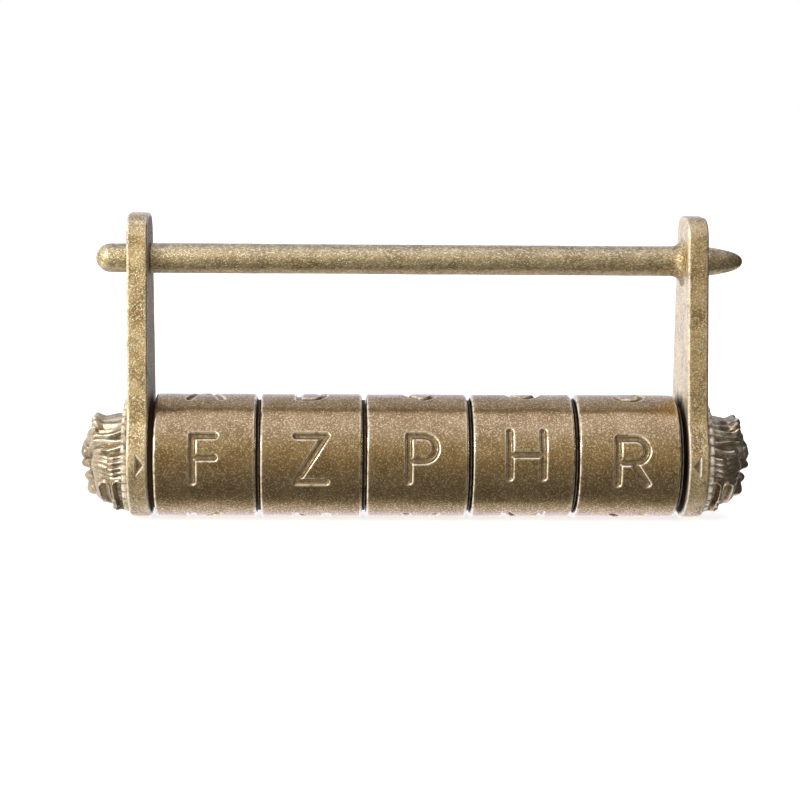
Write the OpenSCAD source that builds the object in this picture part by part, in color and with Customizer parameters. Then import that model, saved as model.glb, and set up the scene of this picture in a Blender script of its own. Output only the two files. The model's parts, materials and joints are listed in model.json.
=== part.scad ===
// Letter-ring padlock with lion head caps.
// The shackle half (right plate, bar and bolt rod) pulls out of the lock half (left plate, tube and
// rings) once every ring shows its code letter. Drawn closed, with the code set.
// +X runs along the rings to the right, +Y goes away from the letters, +Z goes up to the bar.
// The origin is on the shackle bar's axis, half way between the two plates.

/* [Rings] */
// Outer diameter of a letter ring
ring_d = 14.6; // [14.2:0.1:15.4]
// Length of a letter ring along the lock
ring_len = 11.95; // [11.5:0.05:13]
// Gap between two rings
ring_gap = 0.47; // [0.4:0.01:0.6]
// Gap between the left plate and the first ring
left_gap = 0.58; // [0.5:0.01:0.8]
// Gap between the last ring and the right plate
right_gap = 0.89; // [0.8:0.01:1.2]
// Height of a letter
letter_h = 6.3; // [5:0.1:7]
// Width of a wide letter
letter_w = 4.2; // [3:0.1:5]
// Width of the stroke that a letter is cut with
stroke_w = 0.9; // [0.6:0.05:1.2]
// Depth of a letter
letter_depth = 0.35; // [0.2:0.05:0.5]
// Angle of the letters above the index marks
letter_lift = 6; // [0:1:10]

/* [Shackle] */
// Diameter of the shackle bar
bar_d = 3.6; // [3.4:0.1:4]
// Diameter of the bar's thinner left end, which enters the left arm
spigot_d = 3.24; // [3:0.02:3.3]
// Distance from the bar's axis down to the rings' axis
bar_drop = 23.45; // [22:0.05:28]
// How far the bar's left end stands out past the left arm
spigot_out = 3.9; // [2.5:0.1:5]
// How far the bar's pointed tail stands out past the right arm
tail_out = 4.4; // [3:0.1:5]
// Radius of the fillet where the bar meets the right arm
fillet_r = 1.4; // [0.6:0.1:1.6]

/* [End plates] */
// Thickness of an end plate
plate_t = 2.45; // [2.2:0.05:3]
// Diameter of the plate's round foot
foot_d = 14.7; // [14.6:0.1:15.6]
// Width of the arm at the bar
arm_top_w = 8.4; // [7.6:0.1:9.2]
// Width of the arm where it leaves the round foot
arm_base_w = 11.9; // [11:0.1:12.4]
// Height of the arm's top above the bar's axis
arm_over = 5.3; // [4.8:0.1:6]
// Radius of the arm's top corners
arm_corner_r = 2.4; // [1.5:0.1:3]

/* [Lion heads] */
// How far a head stands out from its plate
head_len = 5.85; // [5:0.05:7]
// Diameter of the scalloped flange at the head's base
flange_d = 13.8; // [13:0.1:14.4]
// Number of scallops round the flange
scallops = 34; // [24:1:40]

/* [Mechanism] */
// Outer diameter of the slotted core tube
tube_d = 7.2; // [7:0.1:7.6]
// Bore of the core tube
tube_bore_d = 5.4; // [5.2:0.1:5.6]
// Width of the slot along the tube
slot_w = 2.3; // [2.2:0.05:2.5]
// Bore of a letter ring
ring_bore_d = 11.2; // [11:0.1:11.4]

/* [Hidden] */
$fn = 96;
ring_count = 5;
eps = 0.01;

ring_pitch = ring_len + ring_gap;
rings_len = ring_count * ring_len + (ring_count - 1) * ring_gap;
span = left_gap + rings_len + right_gap;
left_face = -span / 2;
right_face = span / 2;
ring_r = ring_d / 2;
rim_chamfer = 0.2;
thrust_gap = 0.1;      // axial play between two rings
thrust_d = 13.2;       // outer diameter of the thrust faces that show in the gaps

run_gap = 0.05;        // radial play of a ring on the tube
rod_d = tube_bore_d - 0.15;
stud_d = slot_w - 0.3;
stud_reach = ring_bore_d / 2 - 0.25;
stud_from = 1.6;       // how deep in the rod a stud starts, from its axis
gate_w = slot_w + 0.35;
bush_from = 6.5;       // from a ring's left face to its bush
bush_len = 4.4;
stud_at = 3.2;         // from a ring's left face to its stud
collar_len = 0.8;
collar_d = ring_bore_d - 0.3;
tube_seat = 1.95;      // how far the tube goes into the left plate
rod_seat = 1.8;        // how far the rod goes into the right plate
end_play = 0.05;

arm_hole_d = bar_d - 0.1;
index_w = 1;
index_in = 0.3;        // how far an index mark sits off the plate's middle, towards the rings
index_h = 2.7;
index_depth = 0.4;
rivet_d = 1;
rivet_offset = 4.3;
rivet_depth = 1.2;
flange_t = 0.55;
crown_r = 5.8;
crown_low = 0.8;       // how far the face's middle lies below the rings' axis
muzzle_r = 2.3;
ear_r = 1.5;

// The letters of each ring: in front, then below, behind and on top. The front ones are the code.
dials = [
    ["F", "K", "P", "A"],
    ["Z", "N", "T", "B"],
    ["P", "V", "L", "C"],
    ["H", "M", "E", "U"],
    ["R", "Y", "D", "S"],
];

function ring_left(i) = left_face + left_gap + i * ring_pitch;

// A cylinder along X on the shackle bar's axis, from one X to another.
module bar_cyl(d, from, to) {
    translate([from, 0, 0]) rotate([0, 90, 0]) cylinder(d = d, h = to - from);
}

// The same on the rings' axis.
module ring_cyl(d, from, to) {
    translate([0, 0, -bar_drop]) bar_cyl(d, from, to);
}

// A tube on the rings' axis.
module ring_tube(d, bore, from, to) {
    difference() {
        ring_cyl(d, from, to);
        ring_cyl(bore, from - 1, to + 1);
    }
}

// A cut of the given width that runs from the rings' axis up past a radius.
module upward_cut(w, reach, from, to) {
    translate([from, -w / 2, -bar_drop]) cube([to - from, w, reach]);
}

// ---- letters, drawn as strokes on a grid one unit wide and one unit high ----

// Points of a round stretch, as a fraction of the grid.
function bow(cx, cy, rx, ry, a0, a1, n = 6) =
    [for (k = [0 : n]) let (a = a0 + (a1 - a0) * k / n) [cx + rx * cos(a), cy + ry * sin(a)]];

// A bowl that starts and ends inside the stem, between two heights.
function bowl(low, high, reach) =
    let (mid = (low + high) / 2, r = (high - low) / 2, start = max(0.4, reach - 0.55))
    concat([[0.1, high]], bow(start, mid, reach - start, r, 90, -90), [[0.1, low]]);

function strokes(ch) =
    ch == "A" ? [[[0, 0], [0.5, 1], [1, 0]], [[0.3, 0.3], [0.7, 0.3]]] :
    ch == "B" ? [[[0, 0], [0, 1]], bowl(0.55, 0.98, 0.9), bowl(0.02, 0.5, 1)] :
    ch == "C" ? [bow(0.5, 0.5, 0.5, 0.5, 50, 310, 10)] :
    ch == "D" ? [[[0, 0], [0, 1]], bowl(0.02, 0.98, 1)] :
    ch == "E" ? [[[0.9, 1], [0, 1], [0, 0], [0.9, 0]], [[0.1, 0.52], [0.7, 0.52]]] :
    ch == "F" ? [[[0.8, 1], [0, 1], [0, 0]], [[0.1, 0.52], [0.65, 0.52]]] :
    ch == "H" ? [[[0, 0], [0, 1]], [[1, 0], [1, 1]], [[0.1, 0.5], [0.9, 0.5]]] :
    ch == "K" ? [[[0, 0], [0, 1]], [[0.9, 1], [0.1, 0.45]], [[0.35, 0.6], [0.95, 0.02]]] :
    ch == "L" ? [[[0, 1], [0, 0], [0.85, 0]]] :
    ch == "M" ? [[[0, 0], [0, 1], [0.5, 0.35], [1, 1], [1, 0]]] :
    ch == "N" ? [[[0, 0], [0, 1], [1, 0], [1, 1]]] :
    ch == "P" ? [[[0, 0], [0, 1]], bowl(0.45, 0.98, 0.95)] :
    ch == "R" ? [[[0, 0], [0, 1]], bowl(0.48, 0.98, 0.95), [[0.5, 0.45], [0.95, 0.02]]] :
    ch == "S" ? [concat(bow(0.5, 0.75, 0.45, 0.25, 30, 270), bow(0.5, 0.25, 0.45, 0.25, 60, -150))] :
    ch == "T" ? [[[0, 1], [1, 1]], [[0.5, 0.9], [0.5, 0]]] :
    ch == "U" ? [concat([[0, 1]], bow(0.5, 0.4, 0.5, 0.4, 180, 360, 8), [[1, 1]])] :
    ch == "V" ? [[[0, 1], [0.5, 0], [1, 1]]] :
    ch == "Y" ? [[[0, 1], [0.5, 0.5], [1, 1]], [[0.5, 0.45], [0.5, 0]]] :
    [[[0, 1], [1, 1], [0, 0], [1, 0]]];

function unit(v) = v / norm(v);

// The sideways offset at point k of a line: square to the stroke at its ends, mitred at its corners.
function side_step(line, k) =
    let (
        last = len(line) - 1,
        before = unit(line[max(k, 1)] - line[max(k, 1) - 1]),
        after = unit(line[min(k, last - 1) + 1] - line[min(k, last - 1)]),
        mid = unit(before + after),
        lean = max(0.5, mid * before)
    )
    [-mid.y, mid.x] * stroke_w / 2 / lean;

// The same line with each end pushed out by half a stroke.
function long_ends(line) =
    let (last = len(line) - 1, push = stroke_w / 2)
    [for (k = [0 : last])
        k == 0 ? line[0] - push * unit(line[1] - line[0]) :
        k == last ? line[last] + push * unit(line[last] - line[last - 1]) :
        line[k]];

// The flat outline of a letter, centred on its own middle.
module letter_2d(ch) {
    w = letter_w - stroke_w;
    h = letter_h - stroke_w;
    for (points = strokes(ch)) {
        line = long_ends([for (p = points) [(p.x - 0.5) * w, (p.y - 0.5) * h]]);
        last = len(line) - 1;
        polygon(concat(
            [for (k = [0 : last]) line[k] + side_step(line, k)],
            [for (k = [last : -1 : 0]) line[k] - side_step(line, k)]
        ));
    }
}

// What is cut from a ring for its four letters: prisms that stop at the groove's floor.
module letter_cut(letters, middle) {
    difference() {
        for (k = [0 : 3])
            translate([middle, 0, -bar_drop])
                rotate([90 * k - letter_lift, 0, 0])
                    translate([0, -ring_r / 2, 0])
                        rotate([90, 0, 0])
                            linear_extrude(ring_r)
                                letter_2d(letters[k]);
        ring_cyl(ring_d - 2 * letter_depth, middle - ring_len, middle + ring_len);
    }
}

// ---- lock half: left plate, tube, collar, head and rings ----

// Outline of an end plate in Y and Z: a round foot and an arm that tapers up to the bar.
module plate_2d() {
    arm_root = -bar_drop + sqrt(pow(foot_d / 2, 2) - pow(arm_base_w / 2, 2));
    corner_y = arm_top_w / 2 - arm_corner_r;
    corner_z = arm_over - arm_corner_r;
    translate([0, -bar_drop]) circle(d = foot_d);
    polygon([
        [-arm_base_w / 2, arm_root], [0, -bar_drop], [arm_base_w / 2, arm_root],
        [arm_top_w / 2, corner_z], [-arm_top_w / 2, corner_z],
    ]);
    translate([-corner_y, corner_z - eps]) square([2 * corner_y, arm_corner_r + eps]);
    for (side = [-1, 1])
        translate([side * corner_y, corner_z]) circle(r = arm_corner_r);
}

// A plate without its holes. point is +1 where the index mark points to the right.
module plate_blank(from, point) {
    base = from + plate_t / 2 + point * (index_in - index_w / 2);
    difference() {
        translate([from, 0, 0])
            rotate([90, 0, 90])
                linear_extrude(plate_t)
                    plate_2d();
        translate([0, -foot_d / 2 + index_depth, -bar_drop])
            rotate([90, 0, 0])
                linear_extrude(2)
                    polygon([[base, -index_h / 2], [base, index_h / 2], [base + point * index_w, 0]]);
    }
}

// A rivet from one X to another. side is +1 above the rings' axis and -1 below it.
module rivet(side, from, to) {
    translate([0, 0, side * rivet_offset]) ring_cyl(rivet_d, from, to);
}

// The sockets for a head's two rivets.
module rivet_pair(from, to) {
    for (side = [-1, 1])
        rivet(side, from, to);
}

// A pin that holds a head to its plate, across the plate's outer face.
module head_rivet(outer, side) color("dimgray") {
    rivet(side, outer - rivet_depth, outer + rivet_depth);
}

module left_end_plate() color("darkkhaki") {
    outer = left_face - plate_t;
    difference() {
        union() {
            plate_blank(outer, 1);
            ring_cyl(thrust_d, left_face - eps, left_face + left_gap - thrust_gap);
        }
        bar_cyl(arm_hole_d, outer - 1, left_face + 1);
        ring_cyl(tube_d, left_face - tube_seat, left_face + 1);
        rivet_pair(outer - 1, outer + rivet_depth);
    }
}

module core_tube() color("goldenrod") {
    from = left_face - tube_seat;
    to = right_face - end_play;
    difference() {
        ring_tube(tube_d, tube_bore_d, from, to);
        upward_cut(slot_w, tube_d, ring_left(0) + 1, to + 1);
    }
}

module tube_collar() color("peru") {
    from = ring_left(ring_count - 1) + bush_from + bush_len + thrust_gap;
    difference() {
        ring_tube(collar_d, tube_d, from, from + collar_len);
        upward_cut(slot_w, collar_d, from - 1, from + collar_len + 1);
    }
}

// A head cap that stands out along +X from its own base plane, on the rings' axis.
module lion_head() {
    translate([0, 0, -bar_drop]) rotate([90, 0, 90]) {
        linear_extrude(flange_t)
            union() {
                circle(d = flange_d - 0.6);
                for (k = [0 : scallops - 1])
                    rotate(k * 360 / scallops)
                        translate([flange_d / 2 - 0.6, 0])
                            circle(r = 0.6, $fn = 24);
            }
        translate([0, -crown_low, 0])
            rotate_extrude()
                polygon(concat([[0, 0]], [for (a = [0 : 7.5 : 90])
                    [crown_r * pow(cos(a), 0.5), flange_t - eps + (head_len - 1.3) * pow(sin(a), 0.5)]]));
        translate([0, -0.5, head_len - muzzle_r]) sphere(r = muzzle_r);
        for (side = [-1, 1])
            translate([side * 3.3, 2.7, flange_t + 2.5]) sphere(r = ear_r);
    }
}

module left_lion_head() color("tan") {
    difference() {
        translate([left_face - plate_t, 0, 0]) mirror([1, 0, 0]) lion_head();
        rivet_pair(left_face - plate_t - rivet_depth, left_face - plate_t + 1);
    }
}

// A letter ring: a sleeve with chamfered rims and a thrust face on its right side.
module letter_ring(i) {
    from = ring_left(i);
    to = from + ring_len;
    c = rim_chamfer;
    difference() {
        union() {
            translate([from, 0, -bar_drop])
                rotate([0, 90, 0])
                    rotate_extrude()
                        polygon([
                            [0, 0], [ring_r - c, 0], [ring_r, c],
                            [ring_r, ring_len - c], [ring_r - c, ring_len], [0, ring_len],
                        ]);
            ring_cyl(thrust_d, to - eps, to + ring_gap - thrust_gap);
        }
        ring_cyl(ring_bore_d, from - 1, to + 1);
        letter_cut(dials[i], (from + to) / 2);
    }
}

// A bush pressed into ring i. The gate lets the bolt's studs pass when the code letter shows.
module gate_bush(i) {
    from = ring_left(i) + bush_from;
    difference() {
        ring_tube(ring_bore_d, tube_d + 2 * run_gap, from, from + bush_len);
        upward_cut(gate_w, ring_bore_d, from - 1, from + bush_len + 1);
    }
}

// ---- shackle half: right plate, bar, bolt and head ----

module right_end_plate() color("darkkhaki") {
    difference() {
        plate_blank(right_face, -1);
        bar_cyl(bar_d, right_face - 1, right_face + plate_t + 1);
        ring_cyl(rod_d, right_face - 1, right_face + rod_seat);
        rivet_pair(right_face + plate_t - rivet_depth, right_face + plate_t + 1);
    }
}

// The bar from left to right: round nose, thin end, bar, fillet, seat in the arm, pointed tail.
module shackle_bar() color("burlywood") {
    nose = left_face - plate_t - spigot_out + spigot_d / 2;
    tail = right_face + plate_t;
    tip_r = 0.9;
    bar_cyl(spigot_d, nose, left_face + eps);
    translate([nose, 0, 0]) sphere(d = spigot_d);
    bar_cyl(bar_d, left_face, tail);
    translate([right_face, 0, 0])
        rotate([0, -90, 0])
            rotate_extrude()
                difference() {
                    square([bar_d / 2 + fillet_r, fillet_r]);
                    translate([bar_d / 2 + fillet_r, fillet_r]) circle(r = fillet_r);
                }
    translate([tail - eps, 0, 0])
        rotate([0, 90, 0])
            cylinder(r1 = bar_d / 2, r2 = tip_r, h = tail_out - tip_r + eps);
    translate([tail + tail_out - tip_r, 0, 0]) sphere(r = tip_r);
}

module bolt_rod() color("silver") {
    difference() {
        ring_cyl(rod_d, ring_left(0) + 0.4, right_face + rod_seat);
        for (i = [0 : ring_count - 1])
            translate([ring_left(i) + stud_at, 0, -bar_drop + stud_from])
                cylinder(d = stud_d, h = rod_d);
    }
}

module bolt_stud(i) {
    translate([ring_left(i) + stud_at, 0, -bar_drop + stud_from])
        cylinder(d = stud_d, h = stud_reach - stud_from);
}

module right_lion_head() color("tan") {
    difference() {
        translate([right_face + plate_t, 0, 0]) lion_head();
        rivet_pair(right_face + plate_t - 1, right_face + plate_t + rivet_depth);
    }
}

left_end_plate();
core_tube();
tube_collar();
left_lion_head();
right_end_plate();
shackle_bar();
bolt_rod();
right_lion_head();
for (n = [1 : 2]) {
    side = 3 - 2 * n;
    head_rivet(left_face - plate_t, side);
    head_rivet(right_face + plate_t, side);
}
for (i = [0 : ring_count - 1]) {
    color("silver") bolt_stud(i);
    color("darkkhaki") letter_ring(i);
    color("goldenrod") gate_bush(i);
}
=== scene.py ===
"""Antique brass letter-ring padlock with lion head caps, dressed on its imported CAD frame.

Every shape is worked out in millimetres in the frame's own axes and turned into metres when its
mesh is made. +X runs along the rings, -Y is the side that shows the code letters, +Z is up.
"""

import json
import logging
import math
from dataclasses import dataclass
from enum import Enum

import bpy
import numpy as np
from mathutils import Matrix, Vector

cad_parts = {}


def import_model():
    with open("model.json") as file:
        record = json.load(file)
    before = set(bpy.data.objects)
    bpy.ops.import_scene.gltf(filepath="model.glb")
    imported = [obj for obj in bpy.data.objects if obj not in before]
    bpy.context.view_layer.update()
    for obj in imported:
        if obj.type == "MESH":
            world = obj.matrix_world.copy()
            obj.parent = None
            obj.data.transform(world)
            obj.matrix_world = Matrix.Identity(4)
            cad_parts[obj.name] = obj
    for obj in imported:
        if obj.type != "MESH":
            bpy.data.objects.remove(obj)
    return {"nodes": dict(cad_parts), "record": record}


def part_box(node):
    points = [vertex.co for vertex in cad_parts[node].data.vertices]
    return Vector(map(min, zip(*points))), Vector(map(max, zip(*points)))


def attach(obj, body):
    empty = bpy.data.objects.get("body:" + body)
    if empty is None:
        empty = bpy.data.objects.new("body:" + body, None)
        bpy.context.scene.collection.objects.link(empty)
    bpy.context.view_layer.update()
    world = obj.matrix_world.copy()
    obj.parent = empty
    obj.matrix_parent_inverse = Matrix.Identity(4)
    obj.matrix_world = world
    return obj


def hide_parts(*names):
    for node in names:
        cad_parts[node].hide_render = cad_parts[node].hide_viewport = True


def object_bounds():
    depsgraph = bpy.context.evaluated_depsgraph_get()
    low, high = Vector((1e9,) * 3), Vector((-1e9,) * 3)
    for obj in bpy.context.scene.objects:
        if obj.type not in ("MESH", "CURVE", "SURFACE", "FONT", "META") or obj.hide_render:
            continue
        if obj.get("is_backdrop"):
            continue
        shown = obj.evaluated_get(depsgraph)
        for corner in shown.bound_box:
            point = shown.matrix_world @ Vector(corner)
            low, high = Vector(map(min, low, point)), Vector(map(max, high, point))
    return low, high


LOG = logging.getLogger("padlock")
MM = 0.001
TAU = 2.0 * math.pi
WIDE_BLUR = 24
TIGHT_BLUR = 4


# ---------------------------------------------------------------------------------------------
# Array helpers
# ---------------------------------------------------------------------------------------------


def smoothstep(low: float, high: float, x: np.ndarray) -> np.ndarray:
    """A soft step: the cubic 3t^2 - 2t^3.

    Args:
        low: Where it is 0. It may be the larger of the two.
        high: Where it is 1.
        x: The values.

    Returns:
        Numbers from 0 to 1, in the shape of x.
    """
    t = np.clip((x - low) / (high - low), 0.0, 1.0)
    return t * t * (3.0 - 2.0 * t)


def bell(x: np.ndarray, width: float) -> np.ndarray:
    """The bell curve exp(-(x / width)^2).

    Args:
        x: The values.
        width: Where it has fallen to about a third.

    Returns:
        Numbers from 0 to 1, in the shape of x.
    """
    return np.exp(-((x / width) ** 2))


def lattice_noise(points: np.ndarray, cell: float, seed: int) -> np.ndarray:
    """Smooth value noise: random numbers on a cubic lattice, blended with smooth weights.

    Args:
        points: Positions in millimetres, with the last axis of length 3.
        cell: Lattice spacing in millimetres.
        seed: Seed of the random lattice.

    Returns:
        Values from -1 to 1, in the shape of points without its last axis.
    """
    side = 32
    table = np.random.default_rng(seed).uniform(-1.0, 1.0, (side, side, side))
    scaled = points / cell
    low = np.floor(scaled).astype(int)
    t = scaled - low
    t = t * t * (3.0 - 2.0 * t)
    total = np.zeros(points.shape[:-1])
    for corner in np.ndindex(2, 2, 2):
        pick = (low + np.array(corner)) % side
        weight = np.prod(np.where(np.array(corner) == 1, t, 1.0 - t), axis=-1)
        total += weight * table[pick[..., 0], pick[..., 1], pick[..., 2]]
    return total


def blur(field: np.ndarray, passes: int, wrap: tuple[bool, bool]) -> np.ndarray:
    """Averages a grid with its four neighbours, a number of times.

    Args:
        field: Grid of numbers or vectors.
        passes: How many times to average.
        wrap: Whether the first and the second axis close on themselves.

    Returns:
        The blurred grid.
    """
    out = field
    for _ in range(passes):
        near = []
        for axis in (0, 1):
            for step in (1, -1):
                moved = np.roll(out, step, axis)
                if not wrap[axis]:
                    edge = [slice(None)] * out.ndim
                    edge[axis] = 0 if step == 1 else -1
                    moved[tuple(edge)] = out[tuple(edge)]
                near.append(moved)
        out = 0.5 * out + 0.125 * sum(near)
    return out


def grid_normals(grid: np.ndarray, wrap: tuple[bool, bool]) -> np.ndarray:
    """Unit normals of a grid: the cross product of its two central differences.

    Args:
        grid: Points of shape (rows, columns, 3).
        wrap: Whether the rows and the columns close on themselves.

    Returns:
        Unit vectors, in the shape of grid.
    """
    along = []
    for axis in (0, 1):
        if wrap[axis]:
            along.append(np.roll(grid, -1, axis) - np.roll(grid, 1, axis))
        else:
            along.append(np.gradient(grid, axis=axis))
    normal = np.cross(along[0], along[1])
    return normal / np.maximum(np.linalg.norm(normal, axis=-1, keepdims=True), 1e-12)


def arc_resample(points: np.ndarray, count: int, closed: bool) -> np.ndarray:
    """Points spread evenly along a line, found by interpolating over its own length.

    Args:
        points: The line's points, one row each.
        count: How many points to return.
        closed: Whether the line returns to its start.

    Returns:
        count rows. On a closed line the start isn't repeated at the end.
    """
    line = np.vstack([points, points[:1]]) if closed else points
    run = np.concatenate([[0.0], np.cumsum(np.linalg.norm(np.diff(line, axis=0), axis=1))])
    at = np.linspace(0.0, run[-1], count, endpoint=not closed)
    return np.stack([np.interp(at, run, line[:, k]) for k in range(line.shape[1])], axis=1)


# ---------------------------------------------------------------------------------------------
# Surfaces
# ---------------------------------------------------------------------------------------------


@dataclass
class Sheet:
    """One closed surface: a grid of points in millimetres, with how it closes.

    Attributes:
        grid: Points of shape (rows, columns, 3). The columns always close on themselves.
        rows_close: Whether the last row joins the first, as on a ring.
        recess_and_shade: How dark each point is made, from 0 to 1: dark oxide in a recess, and painted
            shade on faces in the gaps and turned from the light.
        relief: How strongly the worked-out cavity and edge values count, everywhere or by point.
        painted_sheen: The least edge value, everywhere or by point; where it is set it paints a pale
            sheen.
    """

    grid: np.ndarray
    rows_close: bool
    recess_and_shade: np.ndarray
    relief: float | np.ndarray = 1.0
    painted_sheen: float | np.ndarray = 0.0

    def cavity(self, passes: int) -> np.ndarray:
        """Height of the blurred surface over the surface itself, along its outward normal.

        Args:
            passes: How many times to blur.

        Returns:
            One height for each point, in millimetres.
        """
        wrap = (self.rows_close, True)
        outward = grid_normals(self.grid, wrap) * self.turn()
        smooth = blur(self.grid, passes, wrap)
        return np.sum((smooth - self.grid) * outward, axis=-1)

    def turn(self) -> float:
        """Which way the grid's own normals point, by the sign of the volume inside it.

        Returns:
            +1 if they point outwards, else -1.
        """
        wrap = (self.rows_close, True)
        normal = grid_normals(self.grid, wrap)
        middle = self.grid.mean(axis=(0, 1))
        if self.rows_close:
            rows = np.roll(self.grid, -1, 0)
        else:
            rows = np.vstack([self.grid[1:], self.grid[-1:]])
        across = np.roll(self.grid, -1, 1) - self.grid
        area = np.linalg.norm(np.cross(rows - self.grid, across), axis=-1)
        volume = np.sum(np.sum((self.grid - middle) * normal, axis=-1) * area)
        return 1.0 if volume > 0.0 else -1.0

    def faces(self) -> tuple[np.ndarray, np.ndarray, np.ndarray]:
        """Vertices and faces, with a fan of triangles round a pole at each open end.

        Returns:
            The vertices, the quads and the triangles.
        """
        rows, cols = self.grid.shape[:2]
        points = self.grid.reshape(-1, 3)
        index = np.arange(rows * cols).reshape(rows, cols)
        below = np.roll(index, -1, 0) if self.rows_close else index[1:]
        above = index if self.rows_close else index[:-1]
        quads = np.stack([above, below, np.roll(below, -1, 1), np.roll(above, -1, 1)], axis=-1)
        quads = quads.reshape(-1, 4)
        fans = np.zeros((0, 3), dtype=int)
        if not self.rows_close:
            poles = np.stack([self.grid[0].mean(axis=0), self.grid[-1].mean(axis=0)])
            first, last = len(points), len(points) + 1
            points = np.vstack([points, poles])
            top = np.stack([np.full(cols, first), index[0], np.roll(index[0], -1)], axis=-1)
            end = np.stack([np.full(cols, last), np.roll(index[-1], -1), index[-1]], axis=-1)
            fans = np.vstack([top, end])
        if self.turn() < 0.0:
            quads = quads[:, ::-1]
            fans = fans[:, ::-1]
        return points, quads, fans

    def per_point(self, values: np.ndarray) -> np.ndarray:
        """A grid of numbers as one per vertex, with the mean of the end row at each pole.

        Args:
            values: One number for each point of the grid.

        Returns:
            One number for each vertex.
        """
        flat = values.reshape(-1)
        if self.rows_close:
            return flat
        return np.concatenate([flat, [values[0].mean(), values[-1].mean()]])


def make_piece(name: str, sheets: list[Sheet], fine: float, broad: float) -> bpy.types.Object:
    """Makes one mesh object from closed surfaces, with its wear, recess and painted-light attributes.

    The attribute "cavity" is how far a point lies below the blurred surface, and "edge" is how
    far it stands above it, both as a fraction of the given heights. "hollow" is given with each sheet.

    Args:
        name: The object's name.
        sheets: The surfaces, in millimetres.
        fine: Height in millimetres at which an edge counts as fully worn.
        broad: Depth in millimetres at which a recess counts as fully dark.

    Returns:
        The object, at the origin.
    """
    points: list[np.ndarray] = []
    faces: list[list[int]] = []
    cavity: list[np.ndarray] = []
    edge: list[np.ndarray] = []
    recess_and_shade: list[np.ndarray] = []
    start = 0
    for sheet in sheets:
        here, quads, fans = sheet.faces()
        points.append(here)
        faces += (quads + start).tolist() + (fans + start).tolist()
        wide = sheet.cavity(WIDE_BLUR) / broad * sheet.relief
        tight = -sheet.cavity(TIGHT_BLUR) / fine * sheet.relief
        cavity.append(sheet.per_point(np.clip(wide, 0.0, 1.0)))
        edge.append(sheet.per_point(np.clip(np.maximum(tight, sheet.painted_sheen), 0.0, 1.0)))
        recess_and_shade.append(sheet.per_point(sheet.recess_and_shade))
        start += len(here)
    mesh = bpy.data.meshes.new(name)
    mesh.from_pydata((np.vstack(points) * MM).tolist(), [], faces)
    # hollow carries dark oxide in recesses, and painted shade in gaps and on faces turned from the light.
    for label, values in (("cavity", cavity), ("edge", edge), ("recess_and_shade", recess_and_shade)):
        layer = mesh.attributes.new(label, "FLOAT", "POINT")
        layer.data.foreach_set("value", np.concatenate(values).astype(np.float32))
    mesh.polygons.foreach_set("use_smooth", np.ones(len(mesh.polygons), dtype=bool))
    mesh.update()
    piece = bpy.data.objects.new(name, mesh)
    bpy.context.scene.collection.objects.link(piece)
    return piece


def turned(profile: np.ndarray, columns: int, axis_z: float) -> np.ndarray:
    """Turns a profile of (x, radius) rows about the line y = 0, z = axis_z.

    A point at angle a lies at y = -r cos a, z = axis_z + r sin a, so a = 0 is the front.

    Args:
        profile: Rows of x and radius, in millimetres.
        columns: Number of points round the axis.
        axis_z: Height of the axis.

    Returns:
        A grid of shape (len(profile), columns, 3).
    """
    a = np.arange(columns) / columns * TAU
    x = np.repeat(profile[:, :1], columns, axis=1)
    r = profile[:, 1:]
    return np.stack([x, -r * np.cos(a), axis_z + r * np.sin(a)], axis=-1)


def rounded(corners: list[tuple[float, float, float]], step: float, closed: bool) -> np.ndarray:
    """A line through corners, each rounded by an arc, with points about one step apart.

    Each corner's arc is tangent to both of its sides, so its centre lies on their bisector.

    Args:
        corners: Rows of (a, b, radius) in the plane of the profile. Radius 0 keeps it sharp.
        step: Largest distance between two points of a straight stretch.
        closed: Whether the last corner joins the first.

    Returns:
        Rows of (a, b).
    """
    raw = np.array(corners, dtype=float)
    count = len(raw)
    out: list[np.ndarray] = []
    for k in range(count):
        here, radius = raw[k, :2], raw[k, 2]
        ends = not closed and k in (0, count - 1)
        if ends or radius == 0.0:
            out.append(here[None])
            continue
        back = raw[k - 1, :2] - here
        ahead = raw[(k + 1) % count, :2] - here
        back /= np.linalg.norm(back)
        ahead /= np.linalg.norm(ahead)
        half = math.acos(float(np.clip(back @ ahead, -1.0, 1.0))) / 2.0
        cut = radius / math.tan(half)
        centre = here + (back + ahead) / np.linalg.norm(back + ahead) * radius / math.sin(half)
        first, last = here + back * cut - centre, here + ahead * cut - centre
        a0, a1 = math.atan2(first[1], first[0]), math.atan2(last[1], last[0])
        sweep = (a1 - a0 + math.pi) % TAU - math.pi
        angles = a0 + np.linspace(0.0, 1.0, 7) * sweep
        out.append(centre + radius * np.stack([np.cos(angles), np.sin(angles)], axis=-1))
    line = np.vstack(out)
    if closed:
        line = np.vstack([line, line[:1]])
    pieces = []
    for a, b in zip(line[:-1], line[1:]):
        parts = max(1, math.ceil(float(np.linalg.norm(b - a)) / step))
        pieces.append(a + (b - a) * np.arange(parts)[:, None] / parts)
    if not closed:
        pieces.append(line[-1:])
    return np.vstack(pieces)


# ---------------------------------------------------------------------------------------------
# Letters
# ---------------------------------------------------------------------------------------------


def bow(cx: float, cy: float, rx: float, ry: float, a0: float, a1: float) -> np.ndarray:
    """An elliptic arc in the letter's unit box.

    Args:
        cx: Its middle, across.
        cy: Its middle, up.
        rx: Its radius across.
        ry: Its radius up.
        a0: Its first angle, in degrees.
        a1: Its last angle.

    Returns:
        Fifteen points.
    """
    a = np.radians(np.linspace(a0, a1, 15))
    return np.stack([cx + rx * np.cos(a), cy + ry * np.sin(a)], axis=-1)


def path(*parts: object) -> np.ndarray:
    """Joins corners and arcs into one polyline.

    Args:
        parts: Single points, or rows of points.

    Returns:
        All the points in one array.
    """
    return np.vstack([np.atleast_2d(np.array(part, dtype=float)) for part in parts])


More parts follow.
